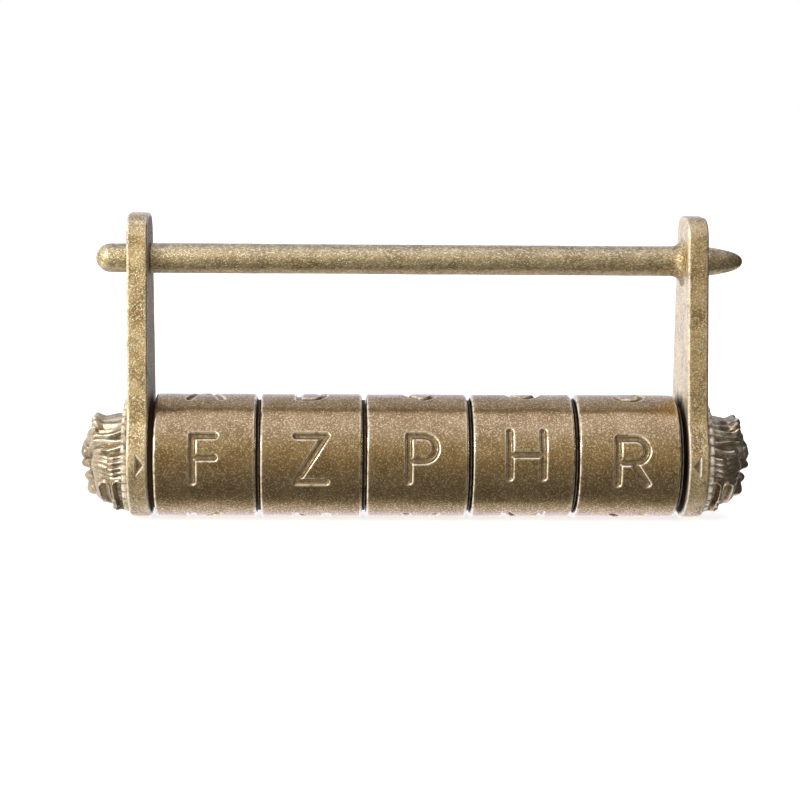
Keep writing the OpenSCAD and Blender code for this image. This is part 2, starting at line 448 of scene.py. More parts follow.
def strokes_of(letter: str) -> list[np.ndarray]:
    """The strokes of a plain block letter, in a box one unit wide and one unit high.

    Args:
        letter: Which letter.

    Returns:
        One polyline for each stroke.
    """
    stem = path((0, 0), (0, 1))
    table = {
        "A": [path((0, 0), (0.5, 1), (1, 0)), path((0.19, 0.34), (0.81, 0.34))],
        "B": [stem, path((0, 1), bow(0.5, 0.77, 0.4, 0.23, 90, -90), (0, 0.54)),
              path((0, 0.54), bow(0.5, 0.27, 0.5, 0.27, 90, -90), (0, 0))],
        "C": [bow(0.52, 0.5, 0.52, 0.5, 45, 315)],
        "D": [stem, path((0, 1), bow(0.35, 0.5, 0.65, 0.5, 90, -90), (0, 0))],
        "E": [path((0.92, 1), (0, 1), (0, 0), (0.92, 0)), path((0, 0.52), (0.78, 0.52))],
        "F": [path((1, 1), (0, 1), (0, 0)), path((0, 0.53), (0.97, 0.53))],
        "H": [stem, path((1, 0), (1, 1)), path((0, 0.5), (1, 0.5))],
        "K": [stem, path((0.92, 1), (0, 0.4)), path((0.28, 0.6), (1, 0))],
        "L": [path((0, 1), (0, 0), (0.9, 0))],
        "M": [path((0, 0), (0, 1), (0.5, 0.35), (1, 1), (1, 0))],
        "N": [path((0, 0), (0, 1), (1, 0), (1, 1))],
        "P": [stem, path((0, 1), bow(0.55, 0.73, 0.45, 0.27, 90, -90), (0, 0.46))],
        "R": [stem, path((0, 1), bow(0.55, 0.74, 0.42, 0.26, 90, -90), (0, 0.48)),
              path((0.5, 0.48), (1, 0))],
        "S": [path(bow(0.5, 0.745, 0.48, 0.255, 25, 270), bow(0.5, 0.245, 0.5, 0.245, 90, -155))],
        "T": [path((0, 1), (1, 1)), path((0.5, 1), (0.5, 0))],
        "U": [path((0, 1), bow(0.5, 0.42, 0.5, 0.42, 180, 360), (1, 1))],
        "V": [path((0, 1), (0.5, 0), (1, 1))],
        "Y": [path((0, 1), (0.5, 0.48), (1, 1)), path((0.5, 0.48), (0.5, 0))],
        "Z": [path((0, 1), (1, 1), (0, 0), (1, 0))],
    }
    return table[letter]


def stroke_distance(
    u: np.ndarray, v: np.ndarray, letter: str, width: float, height: float
) -> np.ndarray:
    """Distance from each point to the middle line of a letter's nearest stroke.

    The distance to one straight stretch is that to its nearest point: the foot of the
    perpendicular, kept between the stretch's two ends.

    Args:
        u: Distance to the right of the letter's middle, in millimetres.
        v: Distance above the letter's middle.
        letter: Which letter.
        width: Distance between the middle lines of its outermost upright strokes.
        height: Distance between the middle lines of its top and bottom strokes.

    Returns:
        Distances in millimetres, in the shape of u.
    """
    best = np.full(u.shape, 1e3)
    scale = np.array([width, height])
    for line in strokes_of(letter):
        points = (line - 0.5) * scale
        for a, b in zip(points[:-1], points[1:]):
            run = b - a
            along = ((u - a[0]) * run[0] + (v - a[1]) * run[1]) / max(float(run @ run), 1e-9)
            along = np.clip(along, 0.0, 1.0)
            gap = np.hypot(u - a[0] - along * run[0], v - a[1] - along * run[1])
            best = np.minimum(best, gap)
    return best


# ---------------------------------------------------------------------------------------------
# Finishes
# ---------------------------------------------------------------------------------------------


class Grain(Enum):
    """How the fine marks of a finish run: evenly, or drawn out along an axis."""

    EVEN = (1.0, 1.0, 1.0)
    ALONG_X = (0.62, 1.0, 1.0)
    ROUND_X = (1.6, 0.7, 0.7)


Colour = tuple[float, float, float, float]


@dataclass(frozen=True)
class MetalFinish:
    """A plated and darkened metal, mixed from noise and the piece's own wear and recess attributes, with
    painted shade and painted glints in its colour.

    Attributes:
        name: The material's name.
        deep: Colour of the dark oxide in recesses and pits, and of the painted shade.
        dark: Colour of the darker patches of an open surface.
        mid: Colour of most of the open surface.
        bright: Colour of the bright flecks, which are painted glints of light.
        rubbed: Colour of rubbed edges.
        roughness: Lowest and highest roughness.
        fleck: Size of the bright flecks, the painted glints, in millimetres.
        fleck_share: How much of the surface they cover, from 0 to 1.
        speck: Size of the grains that break up the flecks, in millimetres.
        bump: Height of the fine unevenness, in millimetres.
        grain: How the flecks run.
        darken_weight: How strongly recesses and the painted shade darken, from 0 to 1.
    """

    name: str
    deep: Colour
    dark: Colour
    mid: Colour
    bright: Colour
    rubbed: Colour
    roughness: tuple[float, float] = (0.3, 0.46)
    fleck: float = 0.16
    fleck_share: float = 0.42
    speck: float = 0.15
    bump: float = 0.012
    grain: Grain = Grain.EVEN
    darken_weight: float = 1.0

    def build(self) -> bpy.types.Material:
        """Makes the material.

        Returns:
            A material that reads Object coordinates and the attributes cavity, edge and hollow.
        """
        material = bpy.data.materials.new(self.name)
        material.use_nodes = True
        tree = material.node_tree
        tree.nodes.clear()
        net = Net(tree)
        place = net.node("ShaderNodeTexCoord").outputs["Object"]
        scaled = net.mapping(place, 1.0 / MM, self.grain.value)
        even = net.mapping(place, 1.0 / MM, (1.0, 1.0, 1.0))

        flecks = net.noise(scaled, 1.0 / self.fleck, 3.0, 0.65)
        grit = net.noise(even, 2.6 / self.fleck, 2.0, 0.6)
        patches = net.noise(even, 0.42, 4.0, 0.6)
        clouds = net.noise(even, 1.5, 3.0, 0.55)

        ground = net.mix(net.ramp(patches, 0.36, 0.64), self.dark, self.mid)
        ground = net.mix(net.scale(net.ramp(clouds, 0.5, 0.72), 0.35), ground, self.dark)
        specks = net.add(flecks, net.scale(net.cells(scaled, 1.0 / self.speck), 0.28))
        threshold = 0.64 + (0.5 - self.fleck_share) * 0.3
        # Painted glints: bright flecks in the base colour stand in for sparkles of light off the fine
        # bumps.
        painted_glint = net.ramp(specks, threshold, threshold + 0.08)
        painted_glint = net.multiply(painted_glint, net.ramp(grit, 0.34, 0.56))
        tone = net.mix(painted_glint, ground, self.bright)
        pits = net.ramp(grit, 0.36, 0.27)
        tone = net.mix(net.scale(pits, 0.6), tone, self.deep)

        cavity = net.attribute("cavity")
        recess_and_shade = net.attribute("recess_and_shade")
        edge = net.attribute("edge")
        # Dark oxide in recesses from the cavity, and painted shade where the hollow mask marks it.
        oxide_and_shade = net.scale(net.larger(cavity, recess_and_shade), self.darken_weight)
        tone = net.mix(oxide_and_shade, tone, self.deep)
        rub = net.multiply(edge, net.ramp(clouds, 0.25, 0.6))
        tone = net.mix(rub, tone, self.rubbed)

        low, high = self.roughness
        rough = net.span(net.ramp(flecks, 0.3, 0.7), high, low)
        rough = net.add(rough, net.scale(oxide_and_shade, 0.3))
        metal = net.span(oxide_and_shade, 1.0, 0.12)

        height = net.add(net.scale(specks, 0.6), net.scale(grit, 0.4))
        bump = net.node("ShaderNodeBump")
        bump.inputs["Strength"].default_value = 1.0
        bump.inputs["Distance"].default_value = self.bump * MM
        net.link(height, bump.inputs["Height"])

        shader = net.node("ShaderNodeBsdfPrincipled")
        net.link(metal, shader.inputs["Metallic"])
        net.link(net.span(oxide_and_shade, 0.5, 0.05), shader.inputs["Specular IOR Level"])
        net.link(tone, shader.inputs["Base Color"])
        net.link(rough, shader.inputs["Roughness"])
        net.link(bump.outputs["Normal"], shader.inputs["Normal"])
        out = net.node("ShaderNodeOutputMaterial")
        net.link(shader.outputs["BSDF"], out.inputs["Surface"])
        return material


class Net:
    """A short hand for the nodes that the finishes use."""

    def __init__(self, tree: bpy.types.NodeTree) -> None:
        """Keeps the tree that the nodes go in.

        Args:
            tree: A material's or a world's node tree.
        """
        self.tree = tree

    def node(self, kind: str) -> bpy.types.Node:
        """Adds a node of the given kind.

        Args:
            kind: The node's type name.

        Returns:
            The new node.
        """
        return self.tree.nodes.new(kind)

    def link(self, source: bpy.types.NodeSocket, target: bpy.types.NodeSocket) -> None:
        """Links an output to an input.

        Args:
            source: The output.
            target: The input.
        """
        self.tree.links.new(source, target)

    def feed(self, value: object, socket: bpy.types.NodeSocket) -> None:
        """Links a socket to an input, or sets the input to a number or colour.

        Args:
            value: A socket, a number or a colour.
            socket: The input.
        """
        if isinstance(value, bpy.types.NodeSocket):
            self.link(value, socket)
        else:
            socket.default_value = value

    def mapping(
        self, place: bpy.types.NodeSocket, scale: float, stretch: tuple[float, float, float]
    ) -> bpy.types.NodeSocket:
        """Scales coordinates by one number and by a factor along each axis.

        Args:
            place: The coordinates.
            scale: The number.
            stretch: The three factors.

        Returns:
            The scaled coordinates.
        """
        node = self.node("ShaderNodeMapping")
        node.inputs["Scale"].default_value = [scale * k for k in stretch]
        self.link(place, node.inputs["Vector"])
        return node.outputs["Vector"]

    def cells(self, place: bpy.types.NodeSocket, scale: float) -> bpy.types.NodeSocket:
        """A random number from 0 to 1 for each small cell of space.

        Args:
            place: The coordinates.
            scale: How many cells there are to a unit.

        Returns:
            The cell's number.
        """
        node = self.node("ShaderNodeTexVoronoi")
        self.link(place, node.inputs["Vector"])
        node.inputs["Scale"].default_value = scale
        parts = self.node("ShaderNodeSeparateColor")
        self.link(node.outputs["Color"], parts.inputs["Color"])
        return parts.outputs["Red"]

    def noise(
        self, place: bpy.types.NodeSocket, scale: float, detail: float, roughness: float
    ) -> bpy.types.NodeSocket:
        """Fractal noise from 0 to 1.

        Args:
            place: The coordinates.
            scale: How many lumps there are to a unit.
            detail: How many finer layers are added.
            roughness: How strong they are.

        Returns:
            The noise.
        """
        node = self.node("ShaderNodeTexNoise")
        node.inputs["Scale"].default_value = scale
        node.inputs["Detail"].default_value = detail
        node.inputs["Roughness"].default_value = roughness
        self.link(place, node.inputs["Vector"])
        return node.outputs["Fac"]

    def ramp(self, value: bpy.types.NodeSocket, low: float, high: float) -> bpy.types.NodeSocket:
        """0 at low and 1 at high, held beyond them.

        Args:
            value: The number to read.
            low: Where it gives 0.
            high: Where it gives 1.

        Returns:
            A number from 0 to 1.
        """
        node = self.node("ShaderNodeMapRange")
        node.interpolation_type = "SMOOTHSTEP"
        node.inputs["From Min"].default_value = low
        node.inputs["From Max"].default_value = high
        self.link(value, node.inputs["Value"])
        return node.outputs["Result"]

    def span(self, value: bpy.types.NodeSocket, low: float, high: float) -> bpy.types.NodeSocket:
        """A value from 0 to 1 spread between two numbers.

        Args:
            value: The value.
            low: What 0 becomes.
            high: What 1 becomes.

        Returns:
            The spread value.
        """
        node = self.node("ShaderNodeMapRange")
        node.inputs["To Min"].default_value = low
        node.inputs["To Max"].default_value = high
        self.link(value, node.inputs["Value"])
        return node.outputs["Result"]

    def math(self, kind: str, a: object, b: object) -> bpy.types.NodeSocket:
        """One sum of two numbers or sockets, of the given kind.

        Args:
            kind: The sum's type name.
            a: The first number or socket.
            b: The second.

        Returns:
            The result.
        """
        node = self.node("ShaderNodeMath")
        node.operation = kind
        self.feed(a, node.inputs[0])
        self.feed(b, node.inputs[1])
        return node.outputs[0]

    def add(self, a: object, b: object) -> bpy.types.NodeSocket:
        """a + b.

        Args:
            a: A number or socket.
            b: Another.

        Returns:
            The result.
        """
        return self.math("ADD", a, b)

    def multiply(self, a: object, b: object) -> bpy.types.NodeSocket:
        """a times b.

        Args:
            a: A number or socket.
            b: Another.

        Returns:
            The result.
        """
        return self.math("MULTIPLY", a, b)

    def larger(self, a: object, b: object) -> bpy.types.NodeSocket:
        """The larger of a and b.

        Args:
            a: A number or socket.
            b: Another.

        Returns:
            The result.
        """
        return self.math("MAXIMUM", a, b)

    def scale(self, value: bpy.types.NodeSocket, factor: float) -> bpy.types.NodeSocket:
        """A value times a number.

        Args:
            value: The value.
            factor: The number.

        Returns:
            The product.
        """
        return self.math("MULTIPLY", value, factor)

    def attribute(self, name: str) -> bpy.types.NodeSocket:
        """One of the piece's own number attributes.

        Args:
            name: The attribute's name.

        Returns:
            Its value.
        """
        node = self.node("ShaderNodeAttribute")
        node.attribute_name = name
        return node.outputs["Fac"]

    def mix(self, factor: bpy.types.NodeSocket, a: object, b: object) -> bpy.types.NodeSocket:
        """Colour a where factor is 0 and b where it is 1.

        Args:
            factor: The share of b.
            a: A colour or socket.
            b: Another.

        Returns:
            The mixed colour.
        """
        node = self.node("ShaderNodeMix")
        node.data_type = "RGBA"
        self.link(factor, node.inputs["Factor"])
        self.feed(a, node.inputs[6])
        self.feed(b, node.inputs[7])
        return node.outputs[2]


RING_BRASS = MetalFinish(
    name="ring_antique_brass",
    deep=(0.02, 0.012, 0.008, 1.0),
    dark=(0.31, 0.20, 0.09, 1.0),
    mid=(0.41, 0.28, 0.135, 1.0),
    bright=(0.82, 0.64, 0.34, 1.0),
    rubbed=(0.95, 0.84, 0.62, 1.0),
    roughness=(0.08, 0.2),
    fleck=0.18,
    fleck_share=0.36,
    bump=0.016,
)
PLATE_BRASS = MetalFinish(
    name="plate_antique_brass",
    deep=(0.06, 0.036, 0.02, 1.0),
    dark=(0.36, 0.22, 0.085, 1.0),
    mid=(0.68, 0.48, 0.23, 1.0),
    bright=(1.0, 0.92, 0.60, 1.0),
    rubbed=(1.0, 0.93, 0.76, 1.0),
    roughness=(0.26, 0.44),
    fleck=0.2,
    fleck_share=0.46,
    bump=0.1,
)
BAR_BRASS = MetalFinish(
    name="bar_antique_brass",
    deep=(0.05, 0.034, 0.022, 1.0),
    dark=(0.32, 0.22, 0.11, 1.0),
    mid=(0.50, 0.37, 0.20, 1.0),
    bright=(1.0, 0.86, 0.46, 1.0),
    rubbed=(0.95, 0.85, 0.62, 1.0),
    roughness=(0.2, 0.36),
    fleck=0.18,
    fleck_share=0.46,
    bump=0.06,
    grain=Grain.ALONG_X,
)
LION_BRASS = MetalFinish(
    name="lion_antique_brass",
    deep=(0.06, 0.038, 0.022, 1.0),
    dark=(0.30, 0.225, 0.14, 1.0),
    mid=(0.46, 0.37, 0.25, 1.0),
    bright=(0.66, 0.56, 0.40, 1.0),
    rubbed=(0.95, 0.86, 0.66, 1.0),
    roughness=(0.24, 0.36),
    fleck=0.2,
    fleck_share=0.3,
    bump=0.014,
)
INNER_BRASS = MetalFinish(
    name="turned_brass",
    deep=(0.05, 0.035, 0.02, 1.0),
    dark=(0.36, 0.25, 0.10, 1.0),
    mid=(0.58, 0.42, 0.19, 1.0),
    bright=(0.74, 0.58, 0.30, 1.0),
    rubbed=(0.85, 0.70, 0.42, 1.0),
    roughness=(0.26, 0.4),
    fleck=0.3,
    fleck_share=0.4,
    bump=0.004,
    grain=Grain.ROUND_X,
)
BOLT_STEEL = MetalFinish(
    name="turned_steel",
    deep=(0.03, 0.028, 0.026, 1.0),
    dark=(0.30, 0.29, 0.28, 1.0),
    mid=(0.46, 0.45, 0.43, 1.0),
    bright=(0.66, 0.65, 0.63, 1.0),
    rubbed=(0.75, 0.74, 0.72, 1.0),
    roughness=(0.24, 0.4),
    fleck=0.3,
    fleck_share=0.4,
    bump=0.004,
    grain=Grain.ROUND_X,
)


def dress(piece: bpy.types.Object, material: bpy.types.Material) -> None:
    """Gives a piece one material and nothing else.

    Args:
        piece: The piece.
        material: Its material.
    """
    piece.data.materials.clear()
    piece.data.materials.append(material)


# ---------------------------------------------------------------------------------------------
# Frame
# ---------------------------------------------------------------------------------------------


@dataclass(frozen=True)
class Layout:
    """Where things lie in the frame, in millimetres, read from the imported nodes.

    Attributes:
        left_outer: X of the left plate's outer face.
        left_face: X of its inner face.
        right_face: X of the right plate's inner face.
        right_outer: X of its outer face.
        drop: How far the rings' axis lies under the bar's.
        foot_r: Radius of the plates' round feet.
        arm_over: Height of the arms' top over the bar's axis.
        ring_r: Outer radius of the letter rings.
        bar_r: Radius of the bar.
        bar_left: X of the bar's round nose.
        bar_right: X of its tail's tip.
        lean: How far the cast right arm leans in at the bar, which the drawing leaves out.
    """

    left_outer: float
    left_face: float
    right_face: float
    right_outer: float
    drop: float
    foot_r: float
    arm_over: float
    ring_r: float
    bar_r: float
    bar_left: float
    bar_right: float
    lean: float

    @classmethod
    def read(cls, record: dict) -> "Layout":
        """Works the layout out from the CAD nodes' boxes.

        Args:
            record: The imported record, whose mount gives the bar's radius.

        Returns:
            The layout.
        """
        left, right = corners("left_end_plate"), corners("right_end_plate")
        ring, bar = corners("letter_ring_1"), corners("shackle_bar")
        plate_t = right[1][0] - right[0][0]
        return cls(
            left_outer=left[0][0],
            left_face=left[0][0] + plate_t,
            right_face=right[0][0],
            right_outer=right[1][0],
            drop=-(ring[0][2] + ring[1][2]) / 2.0,
            foot_r=right[1][1],
            arm_over=right[1][2],
            ring_r=(ring[1][2] - ring[0][2]) / 2.0,
            bar_r=record["mounts"][0]["dims"]["r_mm"],
            bar_left=bar[0][0],
            bar_right=bar[1][0],
            lean=0.3,
        )


def corners(node: str) -> np.ndarray:
    """Lowest and highest corner of a CAD node, in millimetres.

    Args:
        node: The node's name.

    Returns:
        Two rows of (x, y, z).
    """
    return np.array([list(corner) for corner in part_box(node)]) / MM


# ---------------------------------------------------------------------------------------------
# Rings
# ---------------------------------------------------------------------------------------------


@dataclass
class LetterRing:
    """One letter ring: a turned sleeve with four letters cut into it.

    Attributes:
        number: Its place in the row, from 1.
        letters: The letters in front, below, behind and on top.
        widths: Widths of the same four letters over their strokes, in millimetres.
        slip: How far round the ring the letters sit past their common angle, in degrees.
        aside: How far the front letter sits to the right of the ring's middle.
        lift: How far round the ring from the front the letters' common angle is, in degrees.
        height: Height of a letter over its strokes.
        stroke: Width of a letter's stroke at the surface.
        depth: Depth of the grooves.
        wall: How far in from its edge a groove reaches its full depth.
        rim: Radius of the ring's rounded outer edges.
        bore_r: Radius of the bore for the gate bush.
        boss_r: Radius of the low step at the ring's right end.
        recess: How far the ring's right face lies past its bush.
        columns: Number of points round the ring.
    """

    number: int
    letters: str
    widths: tuple[float, float, float, float]
    slip: float
    aside: float
    lift: float = 6.2
    height: float = 6.4
    stroke: float = 0.9
    depth: float = 0.36
    wall: float = 0.3
    rim: float = 0.3
    bore_r: float = 5.6
    boss_r: float = 6.6
    recess: float = 1.05
    columns: int = 480

    def profile(self, left: float, right: float, boss: float, ring_r: float) -> np.ndarray:
        """The ring's closed section, from its bore over the outside and back.

        Args:
            left: X of its left face.
            right: X of its right face.
            boss: X of the step at its right end.
            ring_r: Its outer radius.

        Returns:
            Rows of (x, radius).
        """
        fine = 0.1
        ring = [
            (left, self.bore_r, 0.08), (left, ring_r, self.rim), (right, ring_r, self.rim),
            (right, self.boss_r, 0.0), (boss, self.boss_r, 0.06), (boss, self.bore_r, 0.06),
        ]
        line = rounded(ring, fine, closed=True)
        coarse = (line[:, 1] < self.bore_r + 0.001) & (np.arange(len(line)) % 10 > 0)
        return line[~coarse]

    def build(self, at: Layout) -> bpy.types.Object:
        """Builds the ring with its letters.

        The outside is the turned section, pushed in by the groove depth wherever the distance to
        a letter's stroke is under half the stroke's width, and up by a thin lip just outside it.

        Args:
            at: The frame's layout.

        Returns:
            The ring's object.
        """
        node = corners(f"letter_ring_{self.number}")
        left, boss = node[0][0], node[1][0]
        right = corners(f"gate_bush_{self.number}")[1][0] + self.recess
        line = self.profile(left, right, boss, at.ring_r)
        grid = turned(line, self.columns, -at.drop)
        angle = np.degrees(np.arange(self.columns) / self.columns * TAU)
        outside = np.isclose(line[:, 1], at.ring_r, atol=0.02)
        push = np.zeros(grid.shape[:2])
        recess_and_shade = np.zeros(grid.shape[:2])
        middle = (left + right) / 2.0
        for k, letter in enumerate(self.letters):
            centre = self.lift + self.slip - 90.0 * k
            turn = (angle - centre + 180.0) % 360.0 - 180.0
            v = np.radians(turn) * at.ring_r
            u = line[:, 0] - middle - self.aside
            uu, vv = np.meshgrid(u, v, indexing="ij")
            width = self.widths[k] - self.stroke
            gap = stroke_distance(uu, vv, letter, width, self.height - self.stroke)
            inside = self.stroke / 2.0 - gap
            cut = smoothstep(-0.02, self.wall, inside)
            lip = bell(inside + 0.14, 0.12)
            reach = (np.abs(v) < self.height * 0.75)[None, :] & outside[:, None]
            push += np.where(reach, -self.depth * cut + 0.012 * lip, 0.0)
            recess_and_shade = np.maximum(recess_and_shade, np.where(reach, smoothstep(0.08, 0.3, inside) * 0.36, 0.0))
            corner = bell(inside - 0.2, 0.09)
            recess_and_shade = np.maximum(recess_and_shade, np.where(reach, corner * 0.62, 0.0))
        push += 0.018 * lattice_noise(grid, 1.6, 10 + self.number) * outside[:, None]
        push += 0.03 * lattice_noise(grid, 5.0, 30 + self.number) * outside[:, None]
        rad = np.radians(angle)
        outward = np.stack([np.zeros_like(rad), -np.cos(rad), np.sin(rad)], axis=-1)
        grid = grid + push[..., None] * outward[None]
        # Painted shade: the ring's end faces and bore are made fully dark, for the shade in the gaps
        # between the rings.
        inner = np.where(line[:, 1] < at.ring_r - 0.45, 1.0, 0.0)
        recess_and_shade = np.maximum(recess_and_shade, inner[:, None])
        flat = outside & (line[:, 0] > left + 0.7) & (line[:, 0] < right - 0.7)
        relief = np.where(flat, 0.5, 1.0)[:, None]
        name = f"letter_ring_{self.number}_cast"
        return make_piece(name, [Sheet(grid, True, recess_and_shade, relief)], fine=0.012, broad=0.2)

@dataclass
class RingRow:
    """The five letter rings.

    Attributes:
        rings: The rings, from the left.
    """

    rings: tuple[LetterRing, ...] = (
        LetterRing(1, "FKPA", (3.5, 4.2, 4.0, 4.7), 0.0, -0.08),
        LetterRing(2, "ZNTB", (4.35, 4.4, 4.2, 3.9), 0.0, 0.0),
        LetterRing(3, "PVLC", (4.05, 4.5, 3.8, 4.2), 0.5, 0.55),
        LetterRing(4, "HMEU", (4.8, 5.0, 3.9, 4.3), 4.9, 0.3),
        LetterRing(5, "RYDS", (4.4, 4.5, 4.2, 4.0), -1.5, 0.35),
    )

    def build(self, at: Layout, material: bpy.types.Material) -> None:
        """Builds, dresses and reports each ring.

        Args:
            at: The frame's layout.
            material: The rings' finish.
        """
        for ring in self.rings:
            piece = ring.build(at)
            dress(piece, material)
            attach(piece, f"ring_{ring.number}")
            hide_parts(f"letter_ring_{ring.number}")
            LOG.info("built %s", piece.name)


# ---------------------------------------------------------------------------------------------
# End plates
# ---------------------------------------------------------------------------------------------


@dataclass
class EndPlate:
    """One end plate: a round foot and a tapered arm, cast in one, with a hole for the bar.

    Attributes:
        side: -1 for the left plate and +1 for the right one.
        hole_r: Radius of the hole for the bar.
        name: The object's name.
        top_w: Width of the arm at the bar.
        base_w: Width of the arm where it meets the foot.
        corner_r: Radius of the arm's top corners.
        bevel: Radius of the rounded edges.
        index_w: Length of the index mark, along X.
        index_h: Height of the index mark.
        index_depth: Its depth.
        index_in: How far it sits from the plate's middle, towards the rings.
        around: Number of points round the outline.
    """

    side: int
    hole_r: float
    name: str
    top_w: float = 8.4
    base_w: float = 11.6
    corner_r: float = 2.4
    bevel: float = 0.28
    index_w: float = 1.0
    index_h: float = 2.7
    index_depth: float = 0.4
    index_in: float = 0.3
    around: int = 760

    def outline(self, at: Layout) -> np.ndarray:
        """The plate's outline in (y, z), by marching out from a point inside it.

        The half width at a height is the smooth larger of the foot's circle and the arm's taper:
        log(exp(k a) + exp(k b)) / k. Each ray is halved down on the line where y meets that.

        Args:
            at: The frame's layout.

        Returns:
            Evenly spaced rows of (y, z).
        """
        centre = np.array([0.0, -at.drop * 0.62])
        a = np.linspace(0.0, TAU, 2400, endpoint=False)
        ray = np.stack([np.sin(a), np.cos(a)], axis=-1)
        low, high = np.zeros(len(a)), np.full(len(a), at.drop * 2.0)
        for _ in range(40):
            mid = (low + high) / 2.0
            inside = self.covers(centre + mid[:, None] * ray, at)
            low, high = np.where(inside, mid, low), np.where(inside, high, mid)
        return arc_resample(centre + low[:, None] * ray, self.around, closed=True)

    def covers(self, point: np.ndarray, at: Layout) -> np.ndarray:
        """Whether points lie inside the plate's outline.

        Args:
            point: Rows of (y, z).
            at: The frame's layout.

        Returns:
            One truth value for each row.
        """
        y, z = np.abs(point[:, 0]), point[:, 1]
        up = z + at.drop
        foot = np.sqrt(np.maximum(at.foot_r**2 - up**2, 0.0))
        root = math.sqrt(at.foot_r**2 - (self.base_w / 2.0) ** 2)
        share = np.clip((up - root) / (at.drop - root), 0.0, 1.5)
        arm = self.base_w / 2.0 + (self.top_w - self.base_w) / 2.0 * share
        over = np.maximum(z - (at.arm_over - self.corner_r), 0.0)
        arm -= self.corner_r - np.sqrt(np.maximum(self.corner_r**2 - over**2, 0.0))
        arm = np.where((up < 0.0) | (z > at.arm_over), 0.0, arm)
        soft = np.log(np.exp(3.0 * foot) + np.exp(3.0 * arm)) / 3.0
        plain = np.maximum(foot, arm)
        both = (foot > 0.5) & (arm > 0.5)
        return y < np.where(both, np.minimum(soft, plain + 0.25), plain)

    def build(self, at: Layout) -> bpy.types.Object:
        """Builds the plate as one ring-shaped surface round the bar's hole.

        Each column runs along the hole's wall, out over one face, round the bevelled side, and
        back over the other face. On a face it is the curve (1-t)^2 A + 2t(1-t) B + t^2 C, from
        the hole at A to the outline at C. B lies half way from the plate's middle line to C, so
        the curves of the foot don't cut across the neck.

        Args:
            at: The frame's layout.

        Returns:
            The plate's object.
        """
        low = at.left_outer if self.side < 0 else at.right_face
        high = at.left_face if self.side < 0 else at.right_outer
        rim = self.outline(at)
        bearing = np.unwrap(np.arctan2(rim[:, 0], rim[:, 1])) % TAU
        bearing = 0.5 * bearing + 0.5 * np.arange(len(rim)) / len(rim) * TAU
        eye = self.hole_r * np.stack([np.sin(bearing), np.cos(bearing)], axis=-1)
        spine = np.stack([np.zeros(len(rim)), np.clip(rim[:, 1], -at.drop, 0.0)], axis=-1)
        bend = spine + 0.5 * (rim - spine)
        face = np.linspace(0.0, 1.0, 26) ** 1.25
        side = np.linspace(low + self.bevel, high - self.bevel, 26)
        turns = np.linspace(0.0, math.pi / 2.0, 6)[1:-1]
        bev_in = self.bevel * (1.0 - np.sin(turns))
        bev_x = self.bevel * (1.0 - np.cos(turns))
        # Each row is an x, a share from hole to outline, and an inset from the outline.
        rows = [(low, t, self.bevel) for t in face]
        rows += [(low + x, 1.0, i) for x, i in zip(bev_x, bev_in)]
        rows += [(x, 1.0, 0.0) for x in side]
        rows += [(high - x, 1.0, i) for x, i in zip(bev_x[::-1], bev_in[::-1])]
        rows += [(high, t, self.bevel) for t in face[::-1]]
        rows += [(x, 0.0, 0.0) for x in np.linspace(high, low, 6)[1:-1]]
        table = np.array(rows)
        step = np.roll(rim, -1, 0) - np.roll(rim, 1, 0)
        normal = np.stack([-step[:, 1], step[:, 0]], axis=-1)
        normal /= np.linalg.norm(normal, axis=1, keepdims=True)
        normal *= np.sign(np.sum(normal * (rim - rim.mean(axis=0)), axis=1).mean())
        share = table[:, 1][:, None, None]
        edge = rim[None] - table[:, 2][:, None, None] * normal[None]
        flat = (1.0 - share) ** 2 * eye[None] + 2.0 * share * (1.0 - share) * bend[None]
        flat = flat + share**2 * edge
        x = np.repeat(table[:, 0][:, None], len(rim), axis=1)
        grid = np.concatenate([x[..., None], flat], axis=-1)
        recess_and_shade = np.zeros(x.shape)
        grid, recess_and_shade = self.press_index(grid, recess_and_shade, table, at)
        outward = np.concatenate([np.zeros((len(rim), 1)), normal], axis=1)
        on_side = (table[:, 1] > 0.99).astype(float)[:, None]
        wave = 0.02 * lattice_noise(grid, 1.2, 50 + self.side)
        wave += 0.035 * lattice_noise(grid, 4.0, 60 + self.side)
        grid = grid + ((wave - 0.03) * on_side)[..., None] * outward[None]
        toward_rings = table[:, 0] > high - 0.01 if self.side < 0 else table[:, 0] < low + 0.01
        inner = (toward_rings & (table[:, 1] < 0.999))[:, None] * np.ones(recess_and_shade.shape)
        # Painted shade: the inner face is darkened where the rings stand against it, for the shade in the
        # gap.
        reach = np.hypot(grid[..., 1], grid[..., 2] + at.drop)
        covered = inner * smoothstep(at.ring_r + 0.6, at.ring_r - 0.6, reach)
        recess_and_shade = np.maximum(recess_and_shade, covered)
        if self.side > 0:
            grid[..., 0] -= at.lean * np.maximum(grid[..., 2] + at.drop, 0.0) / at.drop
            # Painted light on the right plate's inner face: a little painted shade, and a painted pale
            # sheen through the least edge value outside the rings.
            recess_and_shade = np.maximum(recess_and_shade, 0.15 * inner)
            sheets = [Sheet(grid, True, recess_and_shade, 1.0 - inner, 0.36 * inner * (1.0 - covered))]
        else:
            # Painted shade: the left plate's inner face, turned away from the key light on the left, is
            # darkened to 0.65.
            sheets = [Sheet(grid, True, np.maximum(recess_and_shade, 0.65 * inner), 1.0 - inner)]
        if self.side < 0:
            sheets.append(self.thrust_face(at))
        return make_piece(self.name, sheets, fine=0.02, broad=0.25)

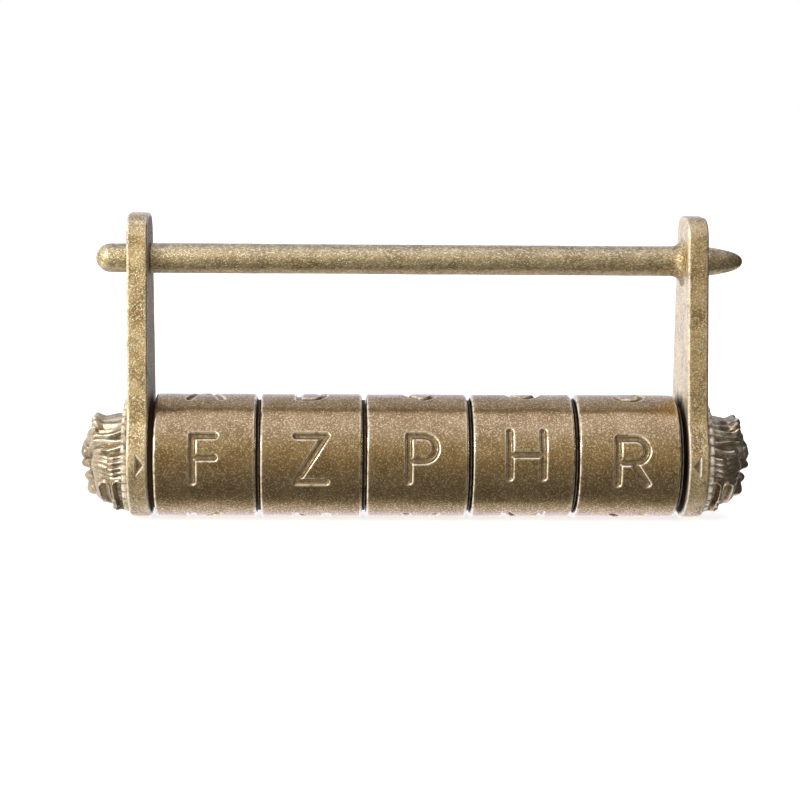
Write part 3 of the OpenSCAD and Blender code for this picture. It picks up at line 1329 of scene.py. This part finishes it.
    def press_index(
        self, grid: np.ndarray, recess_and_shade: np.ndarray, table: np.ndarray, at: Layout
    ) -> tuple[np.ndarray, np.ndarray]:
        """Presses the triangular index mark into the plate's front edge.

        A point's depth follows its distance inside the triangle's three sides, up to the full
        depth, so the mark has sloping walls. Its tip points to the rings.

        Args:
            grid: The plate's points.
            recess_and_shade: Its recess values.
            table: The rows' x, share and inset.
            at: The frame's layout.

        Returns:
            The new points and recess values.
        """
        middle = (table[:, 0].min() + table[:, 0].max()) / 2.0
        a = (grid[..., 0] - middle) * -self.side - self.index_in + self.index_w / 2.0
        b = np.abs(grid[..., 2] + at.drop)
        slope = self.index_h / 2.0 / self.index_w
        lean = math.hypot(1.0, slope)
        inside = np.minimum(a, (self.index_h / 2.0 - slope * a - b) / lean)
        front = (grid[..., 1] < 0.0) & (table[:, 1] > 0.99)[:, None]
        cut = np.where(front, smoothstep(-0.03, 0.27, inside), 0.0)
        grid[..., 1] += self.index_depth * cut
        return grid, np.maximum(recess_and_shade, cut * 0.8)

    def thrust_face(self, at: Layout) -> Sheet:
        """The low round step that the first ring turns against.

        Args:
            at: The frame's layout.

        Returns:
            Its surface.
        """
        node = corners("left_end_plate")
        ring = [
            (at.left_face - 0.3, 3.7, 0.0), (at.left_face - 0.3, 6.3, 0.0),
            (node[1][0], 6.3, 0.08), (node[1][0], 3.7, 0.08),
        ]
        grid = turned(rounded(ring, 0.4, closed=True), 128, -at.drop)
        # Painted shade: the step is made fully dark, for the shade in the gap between the left plate and
        # the first ring.
        return Sheet(grid, True, np.ones(grid.shape[:2]), 0.0)


@dataclass
class EndPlates:
    """Both end plates.

    Attributes:
        left: The left plate.
        right: The right plate.
    """

    left: EndPlate
    right: EndPlate

    def build(self, at: Layout, material: bpy.types.Material) -> None:
        """Builds, dresses and reports both plates.

        Args:
            at: The frame's layout.
            material: The plates' finish.
        """
        for plate, body, node in (
            (self.left, "lock_half", "left_end_plate"),
            (self.right, "shackle_half", "right_end_plate"),
        ):
            piece = plate.build(at)
            dress(piece, material)
            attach(piece, body)
            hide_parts(node)
            LOG.info("built %s", piece.name)


# ---------------------------------------------------------------------------------------------
# Shackle bar
# ---------------------------------------------------------------------------------------------


@dataclass
class ShackleBar:
    """The shackle bar: round nose, bar, fillet at the right arm, pointed tail.

    Attributes:
        spigot_r: Radius of the thin end in the left arm's hole.
        fillet: Radius of the fillet at the right arm.
        columns: Number of points round the bar.
        step: Largest distance between two points along it.
    """

    spigot_r: float = 1.72
    fillet: float = 1.4
    columns: int = 96
    step: float = 0.16

    def profile(self, at: Layout) -> np.ndarray:
        """Works out the bar's section. The tail's radius follows a high power, so its tip is round.

        Args:
            at: The frame's layout.

        Returns:
            Rows of (x, radius) from the nose to the tail's tip.
        """
        nose = np.linspace(math.pi, math.pi / 2.0, 14)
        middle = at.bar_left + self.spigot_r
        head = np.stack([middle + self.spigot_r * np.cos(nose), self.spigot_r * np.sin(nose)], axis=-1)
        line = [head[1:]]
        shoulder = at.left_face + 0.12
        line.append(np.array([[at.left_face + 0.02, self.spigot_r], [shoulder, at.bar_r]]))
        start = at.right_face - at.lean - self.fillet
        line.append(np.array([[start, at.bar_r]]))
        a = np.linspace(0.0, math.pi / 2.0, 9)[1:]
        swell = at.bar_r + self.fillet * (1.0 - np.cos(a))
        line.append(np.stack([start + self.fillet * np.sin(a), swell], axis=-1))
        inside = at.right_face + 0.2
        line.append(np.array([[inside, at.bar_r + self.fillet], [inside + 0.1, at.bar_r]]))
        root = at.right_outer - at.lean - 0.2
        tail = at.bar_right - root
        t = 1.0 - (1.0 - np.linspace(0.0, 1.0, 40)) ** 1.5
        radius = at.bar_r * (1.0 - 0.5 * t**1.5) * np.sqrt(np.maximum(1.0 - t**9.0, 0.0))
        line.append(np.stack([root + tail * t, radius], axis=-1)[:-1])
        rows = np.vstack(line)
        fine = [rows[:1]]
        for a_row, b_row in zip(rows[:-1], rows[1:]):
            parts = max(1, math.ceil(float(np.linalg.norm(b_row - a_row)) / self.step))
            fine.append(a_row + (b_row - a_row) * (np.arange(parts)[:, None] + 1) / parts)
        return np.vstack(fine)

    def build(self, at: Layout) -> bpy.types.Object:
        """Builds the bar by turning its profile about X, with a slight cast unevenness.

        Args:
            at: The frame's layout.

        Returns:
            The bar's object.
        """
        line = self.profile(at)
        grid = turned(line, self.columns, 0.0)
        wave = 0.012 * lattice_noise(grid, 1.1, 71) + 0.03 * lattice_noise(grid, 5.0, 72)
        calm = smoothstep(0.3, 1.4, line[:, 1])[:, None]
        a = np.arange(self.columns) / self.columns * TAU
        outward = np.stack([np.zeros_like(a), -np.cos(a), np.sin(a)], axis=-1)
        grid = grid + ((wave - 0.03) * calm)[..., None] * outward[None]
        # Painted shade: the underside of the bar is darkened, away from the light above.
        recess_and_shade = 0.6 * smoothstep(-0.45, -0.95, np.sin(a))[None] * np.ones(grid.shape[:2])
        return make_piece("shackle_bar_cast", [Sheet(grid, False, recess_and_shade)], fine=0.02, broad=0.2)


# ---------------------------------------------------------------------------------------------
# Lion heads
# ---------------------------------------------------------------------------------------------


@dataclass(frozen=True)
class Blob:
    """An ellipsoid in the head's own axes: out from the plate, sideways, and up.

    Attributes:
        centre: Its middle, in millimetres.
        radii: Its half lengths, in millimetres.
        twin: Whether it has a twin on the other side of the face.
    """

    centre: tuple[float, float, float]
    radii: tuple[float, float, float]
    twin: bool = False

    def distance(self, place: np.ndarray) -> np.ndarray:
        """About how far each place lies outside the ellipsoid, negative inside.

        With q the place from its middle divided by the half lengths, and g the same divided by
        their squares, it is |q| (|q| - 1) / |g|. A twin folds the sideways axis.

        Args:
            place: Points in the head's own axes.

        Returns:
            Distances in millimetres.
        """
        here = place.copy()
        if self.twin:
            here[..., 1] = np.abs(here[..., 1])
        offset = here - np.array(self.centre)
        q = np.linalg.norm(offset / np.array(self.radii), axis=-1)
        g = np.linalg.norm(offset / np.array(self.radii) ** 2, axis=-1)
        return q * (q - 1.0) / np.maximum(g, 1e-6)


@dataclass(frozen=True)
class Lock:
    """A lock of mane that runs out from the plate, over the head's side.

    Attributes:
        angle: Its middle, round the face from straight up, in degrees.
        half: Half its width, in degrees.
        reach: How far out from the plate it ends.
        strands: How many strands it is combed into.
    """

    angle: float
    half: float
    reach: float
    strands: float


@dataclass(frozen=True)
class Pit:
    """A cut in the face, with a twin on the other side of it.

    Attributes:
        part: What it is.
        middle: Where it is deepest, in the head's own axes.
        reach: Its half length along each of them.
        depth: Its depth.
    """

    part: str
    middle: tuple[float, float, float]
    reach: tuple[float, float, float]
    depth: float


@dataclass(frozen=True)
class Petal:
    """A sunken lobe of the beard with a raised rim, seen from the side.

    Attributes:
        top: Its upper middle, as distance out from the plate and height.
        foot: Its lower middle.
        radius: Half its width.
    """

    top: tuple[float, float]
    foot: tuple[float, float]
    radius: float

    def distance(self, place: np.ndarray) -> np.ndarray:
        """Distance from each place to the line from top to foot, seen from the side.

        Args:
            place: Points in the head's own axes.

        Returns:
            Distances in millimetres.
        """
        run = np.array(self.foot) - np.array(self.top)
        out, up = place[..., 0] - self.top[0], place[..., 2] - self.top[1]
        along = np.clip((out * run[0] + up * run[1]) / float(run @ run), 0.0, 1.0)
        return np.hypot(out - along * run[0], up - along * run[1])


FACE = (
    Blob((3.2, 0.0, -0.5), (2.0, 2.9, 3.9)),
    Blob((3.6, 0.0, 3.1), (0.9, 2.9, 1.1)),
    Blob((4.5, 0.0, 1.9), (0.72, 1.5, 1.15)),
    Blob((4.8, 1.0, 1.05), (0.62, 0.85, 0.36), twin=True),
    Blob((5.05, 0.0, 0.95), (0.75, 0.48, 1.1)),
    Blob((5.42, 0.0, 0.25), (0.58, 0.8, 0.66)),
    Blob((5.05, 0.66, -0.85), (0.82, 0.8, 0.6), twin=True),
    Blob((4.5, 1.2, 0.25), (0.52, 0.44, 0.32), twin=True),
    Blob((3.2, 3.2, -0.6), (1.05, 1.2, 0.95), twin=True),
    Blob((4.8, 0.0, -2.55), (0.8, 1.0, 0.62)),
    Blob((4.35, 0.0, -3.8), (0.95, 1.25, 0.95)),
)
MANE = (
    Lock(15.5, 15.5, 4.2, 3.0),
    Lock(39.5, 8.5, 4.1, 2.0),
    Lock(53.5, 5.5, 4.2, 1.0),
    Lock(64.5, 5.5, 3.3, 1.0),
    Lock(84.0, 14.0, 2.1, 4.0),
    Lock(109.0, 11.0, 2.0, 2.0),
    Lock(131.0, 11.0, 2.0, 2.0),
    Lock(161.0, 19.0, 2.0, 3.0),
)
PITS = (
    Pit("mouth", (5.2, 0.0, -1.65), (1.0, 1.3, 0.24), 0.6),
    Pit("corner of the mouth", (4.3, 1.7, -2.2), (0.9, 0.9, 0.46), 0.9),
    Pit("lip", (5.9, 0.0, -0.75), (0.7, 0.1, 0.5), 0.25),
    Pit("nostril", (5.9, 0.42, 0.0), (0.5, 0.2, 0.17), 0.3),
    Pit("inner corner of the eye", (4.8, 0.72, 0.35), (0.6, 0.22, 0.34), 0.3),
    Pit("outer corner of the eye", (4.5, 1.85, 0.2), (0.6, 0.3, 0.34), 0.3),
    Pit("lower lid", (4.9, 1.2, -0.15), (0.8, 0.7, 0.14), 0.22),
    Pit("brow line", (5.0, 0.0, 2.2), (0.6, 0.12, 0.9), 0.16),
    Pit("cheek line", (4.6, 1.75, -0.9), (0.5, 0.14, 0.9), 0.25),
)
BEARD = (Petal((2.75, -3.0), (2.45, -5.3), 0.62), Petal((1.15, -2.8), (0.95, -5.9), 0.62))


@dataclass
class LionHead:
    """A lion head cap: scalloped flange, combed mane, hollowed beard and open-mouthed face.

    Attributes:
        side: -1 for the head on the left plate and +1 for the one on the right.
        name: The object's name.
        flange_t: Thickness of the flange.
        flange_r: Its radius over the scallops.
        middle: Height of the skull's own axis over the rings' axis.
        skull_r: Radius of the skull.
        skull_len: How far it stands out from the plate.
        scallops: Number of scallops round the flange.
        rows: Points from the muzzle to the flange.
        columns: Points round the head.
    """

    side: int
    name: str
    flange_t: float = 0.7
    flange_r: float = 6.8
    middle: float = -0.8
    skull_r: float = 5.5
    skull_len: float = 4.2
    scallops: int = 34
    rows: int = 205
    columns: int = 420

    def skull(self, place: np.ndarray) -> np.ndarray:
        """About how far each place lies outside the skull, a drum with a rounded front edge.

        The drum is where the sixth powers of the radius and the length, each divided by its own
        largest, add up to one. It tapers slightly towards the front.

        Args:
            place: Points in the head's own axes.

        Returns:
            Distances, negative inside.
        """
        r = np.hypot(place[..., 1], place[..., 2] - self.middle) * (1.0 + 0.04 * place[..., 0])
        u = np.maximum(place[..., 0], 0.0)
        size = ((r / self.skull_r) ** 6 + (u / self.skull_len) ** 6) ** (1.0 / 6.0)
        return (size - 1.0) * self.skull_len

    def solid(self, place: np.ndarray) -> np.ndarray:
        """Blends the skull and the face's forms by -log(sum(exp(-k d))) / k.

        Args:
            place: Points in the head's own axes.

        Returns:
            Distances, negative inside.
        """
        sharp = 7.0
        total = np.exp(-sharp * self.skull(place))
        for blob in FACE:
            total += np.exp(-sharp * np.clip(blob.distance(place), -1.5, 4.0))
        return -np.log(total) / sharp

    def shell(self) -> tuple[np.ndarray, np.ndarray]:
        """Marches rays inwards onto the solid, from all round towards a point on its base.

        Each step is a share of the solid's own distance, so it never passes the surface.

        Returns:
            The points, and how deep in a carved or sunk recess each lies.
        """
        origin = np.array([self.flange_t, 0.0, self.middle])
        polar = np.linspace(0.012, math.pi / 2.0, self.rows)[:, None]
        around = (np.arange(self.columns) / self.columns * TAU)[None, :]
        flat = np.ones_like(around)
        ray = np.stack(
            [np.cos(polar) * flat, np.sin(polar) * np.sin(around), np.sin(polar) * np.cos(around)], axis=-1
        )
        reach = np.full(ray.shape[:2], 7.5)
        for _ in range(46):
            reach = np.maximum(reach - 0.75 * self.solid(origin + ray * reach[..., None]), 1.0)
        place = origin + ray * reach[..., None]
        raise_by, recess_and_shade = self.relief(place)
        reach += raise_by
        reach += 0.025 * lattice_noise(place, 0.45, 81) + 0.04 * lattice_noise(place, 1.2, 82)
        return origin + ray * reach[..., None], recess_and_shade

    def relief(self, place: np.ndarray) -> tuple[np.ndarray, np.ndarray]:
        """Height of the mane, beard and wrinkles at each place, less what is carved away.

        A lock's section is a half ellipse with grooves between its strands. It swells near its
        end and stops there, and goes on lower over the front outside the face.

        Args:
            place: Points on the plain solid.

        Returns:
            The heights, and how deep in a carved or sunk recess each point lies.
        """
        out, side, up = place[..., 0], np.abs(place[..., 1]), place[..., 2]
        angle = np.degrees(np.arctan2(side, up - self.middle))
        radius = np.hypot(side, up - self.middle)
        high = np.zeros(out.shape)
        for lock in MANE:
            sway = 2.5 * np.sin(out * 1.3 + lock.angle)
            t = (angle + sway * smoothstep(6.0, 20.0, angle) - lock.angle) / lock.half
            body = np.sqrt(np.maximum(1.0 - t * t, 0.0))
            comb = 0.5 - 0.5 * np.cos(TAU * lock.strands * (t + 1.0) / 2.0)
            fine = np.cos(TAU * lock.strands * 2.5 * t)
            swell = 1.0 + 0.5 * bell(out - lock.reach + 0.4, 0.4)
            stop = smoothstep(lock.reach, lock.reach + 0.22, out)
            front = 0.3 * smoothstep(2.7, 3.5, radius)
            share = swell * (1.0 - stop) + front * stop
            high = np.maximum(high, body * (0.34 + 0.24 * comb + 0.02 * fine) * share)
        beard = smoothstep(-1.7, -2.2, up) * smoothstep(1.2, 2.2, side)
        high *= 1.0 - 0.75 * beard
        sunk = np.zeros(out.shape)
        for petal in BEARD:
            gap = petal.distance(place) - petal.radius
            high += beard * (0.3 * bell(gap, 0.16) - 0.5 * smoothstep(-0.05, -0.4, gap))
            sunk = np.maximum(sunk, beard * smoothstep(-0.1, -0.45, gap))
        eye = np.hypot(side - 1.25, up - 0.25)
        above = smoothstep(0.5, 0.9, up) * bell(eye - 1.05, 0.42) * smoothstep(3.6, 4.2, out)
        high += 0.09 * above * np.cos(TAU * eye / 0.34)
        carved = self.carving(place)
        recess_and_shade = np.clip(carved / 0.5 + 0.22 * sunk, 0.0, 1.0)
        return high - carved, recess_and_shade

    def carving(self, place: np.ndarray) -> np.ndarray:
        """Depth cut away at each place.

        Each cut is a bell curve in the distance from its middle, divided by its own lengths.

        Args:
            place: Points in the head's own axes.

        Returns:
            Depths.
        """
        folded = np.stack([place[..., 0], np.abs(place[..., 1]), place[..., 2]], axis=-1)
        cut = np.zeros(place.shape[:-1])
        for pit in PITS:
            near = np.sum(((folded - np.array(pit.middle)) / np.array(pit.reach)) ** 2, axis=-1)
            cut += pit.depth * np.exp(-(near**1.5))
        return cut

    def flange(self, rim: np.ndarray, around: np.ndarray) -> np.ndarray:
        """Rows from the head's foot out over the scalloped flange and in to the axis.

        The flange's radius is its full radius less a scallop depth times one minus the absolute
        value of cos(n a / 2) to a power, so round lobes meet in sharp notches.

        Args:
            rim: The shell's last row.
            around: The columns' angles.

        Returns:
            The flange's rows.
        """
        lobe = np.abs(np.cos(self.scallops * around / 2.0)) ** 0.8
        edge = self.flange_r - 0.34 * (1.0 - lobe)
        away = np.stack([np.sin(around), np.cos(around)], axis=-1)
        soft = 0.3
        rows = []
        for share in np.linspace(0.2, 1.0, 6):
            flat = rim[:, 1:] * (1.0 - share) + away * (edge - soft)[:, None] * share
            groove = 0.16 * math.sin(math.pi * share)
            out = np.full(len(around), self.flange_t - groove)
            rows.append(np.column_stack([out, flat]))
        for a in np.linspace(0.0, math.pi / 2.0, 6)[1:]:
            flat = away * (edge - soft + soft * math.sin(a))[:, None]
            out = np.full(len(around), self.flange_t - soft * (1.0 - math.cos(a)))
            rows.append(np.column_stack([out, flat]))
        for share in (1.0, 0.98, 0.7, 0.35, 0.05):
            rows.append(np.column_stack([np.zeros(len(around)), away * (edge * share)[:, None]]))
        return np.stack(rows)

    def build(self, at: Layout) -> bpy.types.Object:
        """Builds the head as one surface: the shell, then the flange, then its flat back.

        Args:
            at: The frame's layout.

        Returns:
            The head's object.
        """
        shell, pits = self.shell()
        around = np.arange(self.columns) / self.columns * TAU
        grid = np.concatenate([shell, self.flange(shell[-1], around)], axis=0)
        # The flange and the flat back are darkened by half, evenly; the shell's rows take the carved
        # recesses instead.
        recess_and_shade = np.full(grid.shape[:2], 0.5)
        recess_and_shade[: self.rows] = pits
        base = at.left_outer if self.side < 0 else at.right_outer
        x = base + self.side * grid[..., 0]
        placed = np.stack([x, self.side * grid[..., 1], grid[..., 2] - at.drop], axis=-1)
        return make_piece(self.name, [Sheet(placed, False, recess_and_shade)], fine=0.03, broad=0.3)


@dataclass
class LionHeads:
    """Both head caps."""

    def build(self, at: Layout, material: bpy.types.Material) -> None:
        """Builds, dresses and reports both heads.

        Args:
            at: The frame's layout.
            material: The heads' finish.
        """
        for side, body, node in (
            (-1, "lock_half", "left_lion_head"),
            (1, "shackle_half", "right_lion_head"),
        ):
            piece = LionHead(side, f"{node}_cast").build(at)
            dress(piece, material)
            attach(piece, body)
            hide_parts(node)
            LOG.info("built %s", piece.name)


# ---------------------------------------------------------------------------------------------
# Studio
# ---------------------------------------------------------------------------------------------


class Tint(Enum):
    """The tints of the studio's light."""

    COOL = (0.98, 1.0, 1.24)
    PLAIN = (1.0, 0.985, 0.97)
    WARM = (1.04, 0.955, 0.83)


@dataclass
class Studio:
    """Camera, floor, and the soft light of a white tent, brighter on the left.

    Attributes:
        eye_mm: Where the camera stands, in millimetres.
        yaw: How far it is turned to the right, in degrees.
        pitch: How far it looks down.
        roll: How far it is rolled.
        lens: Its focal length, in millimetres.
    """

    eye_mm: tuple[float, float, float] = (-10.33, -235.98, 20.18)
    yaw: float = 2.005
    pitch: float = 8.896
    roll: float = 0.533
    lens: float = 90.18

    def camera(self) -> None:
        """Places the camera: turned by yaw, tipped down by pitch, then rolled about its view."""
        data = bpy.data.cameras.new("camera")
        data.sensor_width = 36.0
        data.lens = self.lens
        data.clip_start = 0.01
        data.clip_end = 20.0
        camera = bpy.data.objects.new("camera", data)
        turn = (
            Matrix.Rotation(math.radians(-self.yaw), 4, "Z")
            @ Matrix.Rotation(math.radians(90.0 - self.pitch), 4, "X")
            @ Matrix.Rotation(math.radians(self.roll), 4, "Z")
        )
        camera.matrix_world = Matrix.Translation(Vector(self.eye_mm) * MM) @ turn
        bpy.context.scene.collection.objects.link(camera)
        bpy.context.scene.camera = camera

    def floor(self, height: float) -> None:
        """Lays a wide pale floor just under the plates' feet, kept out of the reflections.

        Args:
            height: The floor's height, in metres.
        """
        size = 3.0
        mesh = bpy.data.meshes.new("floor")
        flat = [(-size, -size, height), (size, -size, height), (size, size, height), (-size, size, height)]
        mesh.from_pydata(flat, [], [(0, 1, 2, 3)])
        floor = bpy.data.objects.new("floor", mesh)
        bpy.context.scene.collection.objects.link(floor)
        material = bpy.data.materials.new("pale_floor")
        material.use_nodes = True
        shader = material.node_tree.nodes["Principled BSDF"]
        shader.inputs["Base Color"].default_value = (0.9, 0.9, 0.9, 1.0)
        shader.inputs["Roughness"].default_value = 0.9
        shader.inputs["Emission Color"].default_value = (1.0, 1.0, 1.0, 1.0)
        shader.inputs["Emission Strength"].default_value = 0.7
        dress(floor, material)
        floor.visible_glossy = False
        floor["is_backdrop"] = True

    def world(self) -> None:
        """Lights the scene from all round.

        The brightness follows the angle of a direction about the X axis (0 towards the viewer,
        90 straight up), then is blended towards a bright left and a dim right.
        """
        world = bpy.data.worlds.new("tent")
        bpy.context.scene.world = world
        world.use_nodes = True
        tree = world.node_tree
        tree.nodes.clear()
        net = Net(tree)
        place = net.node("ShaderNodeTexCoord").outputs["Generated"]
        parts = net.node("ShaderNodeSeparateXYZ")
        net.link(place, parts.inputs[0])
        toward = net.scale(parts.outputs["Y"], -1.0)
        angle = net.math("ARCTAN2", parts.outputs["Z"], toward)
        share = net.add(net.scale(angle, 1.0 / TAU), 0.5)
        ramp = net.node("ShaderNodeValToRGB")
        ramp.color_ramp.interpolation = "LINEAR"
        stops = (
            (-180.0, 1.25, Tint.COOL), (-130.0, 1.2, Tint.COOL), (-108.0, 0.92, Tint.COOL),
            (-96.0, 0.58, Tint.PLAIN), (-84.0, 0.26, Tint.PLAIN), (-62.0, 0.2, Tint.PLAIN),
            (-35.0, 0.28, Tint.PLAIN), (-8.0, 0.36, Tint.WARM), (14.0, 0.54, Tint.WARM),
            (38.0, 0.76, Tint.PLAIN), (58.0, 1.02, Tint.COOL), (84.0, 1.12, Tint.COOL),
            (98.0, 1.0, Tint.COOL), (102.0, 0.4, Tint.PLAIN), (107.0, 0.38, Tint.PLAIN),
            (112.0, 0.6, Tint.COOL), (135.0, 0.66, Tint.COOL), (160.0, 0.85, Tint.COOL),
            (180.0, 1.1, Tint.COOL),
        )
        elements = ramp.color_ramp.elements
        while len(elements) > 1:
            elements.remove(elements[-1])
        for k, (degrees, level, tint) in enumerate(stops):
            at = degrees / 360.0 + 0.5
            stop = elements[0] if k == 0 else elements.new(at)
            stop.position = at
            stop.color = tuple(level * part for part in tint.value) + (1.0,)
        net.link(share, ramp.inputs["Fac"])
        left = net.ramp(net.scale(parts.outputs["X"], -1.0), 0.14, 0.66)
        right = net.ramp(parts.outputs["X"], 0.22, 0.7)
        tone = net.mix(left, ramp.outputs["Color"], (1.25, 1.235, 1.2, 1.0))
        tone = net.mix(right, tone, (0.09, 0.085, 0.08, 1.0))
        sight = net.node("ShaderNodeLightPath").outputs["Is Camera Ray"]
        tone = net.mix(sight, tone, (1.0, 1.0, 1.0, 1.0))
        back = net.node("ShaderNodeBackground")
        net.link(tone, back.inputs["Color"])
        out = net.node("ShaderNodeOutputWorld")
        net.link(back.outputs["Background"], out.inputs["Surface"])

    def lamp(self, name: str, place: tuple[float, float, float], size: float, watts: float) -> None:
        """Hangs one square soft light, aimed at the lock's middle, 12 mm under the bar.

        Args:
            name: The light's name.
            place: Where it hangs, in metres.
            size: Its side, in metres.
            watts: Its power.
        """
        data = bpy.data.lights.new(name, "AREA")
        data.size = size
        data.energy = watts
        lamp = bpy.data.objects.new(name, data)
        aim = Vector((0.0, 0.0, -0.012))
        spot = Vector(place)
        turn = (aim - spot).to_track_quat("-Z", "Y").to_matrix().to_4x4()
        lamp.matrix_world = Matrix.Translation(spot) @ turn
        bpy.context.scene.collection.objects.link(lamp)

    def build(self, floor_height: float) -> None:
        """Sets up the whole studio.

        Args:
            floor_height: The floor's height, in metres.
        """
        self.camera()
        self.floor(floor_height)
        self.world()
        self.lamp("key_left", (-0.24, -0.26, 0.15), 0.13, 0.45)
        scene = bpy.context.scene
        scene.view_settings.view_transform = "Standard"
        scene.view_settings.look = "None"


# ---------------------------------------------------------------------------------------------
# The lock
# ---------------------------------------------------------------------------------------------


def dress_inner(frame: dict) -> None:
    """Gives the mechanism's CAD nodes their turned brass and steel.
    """
    brass, steel = INNER_BRASS.build(), BOLT_STEEL.build()
    slots = {part["node"]: part["material_slot"] for part in frame["record"]["subparts"]}
    for name, node in frame["nodes"].items():
        chosen = {"inner_brass": brass, "bolt_steel": steel}.get(slots[name])
        if chosen is not None:
            for holder in node.material_slots:
                holder.material = chosen
            if not node.material_slots:
                node.data.materials.append(chosen)
            LOG.info("dressed %s", name)


def main() -> None:
    """Builds the lock on its frame, piece by piece."""
    logging.basicConfig(level=logging.INFO, format="%(name)s: %(message)s")
    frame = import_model()
    before = [[float(k) for k in corner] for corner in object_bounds()]
    at = Layout.read(frame["record"])
    Studio().build(before[0][2] - 0.0001)
    plates = EndPlates(
        EndPlate(-1, hole_r=1.76, name="left_end_plate_cast"),
        EndPlate(1, hole_r=1.5, name="right_end_plate_cast"),
    )
    plates.build(at, PLATE_BRASS.build())
    bar = ShackleBar().build(at)
    dress(bar, BAR_BRASS.build())
    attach(bar, "shackle_half")
    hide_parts("shackle_bar")
    LOG.info("built %s", bar.name)
    RingRow().build(at, RING_BRASS.build())
    LionHeads().build(at, LION_BRASS.build())
    dress_inner(frame)


if __name__ == "__main__":
    main()
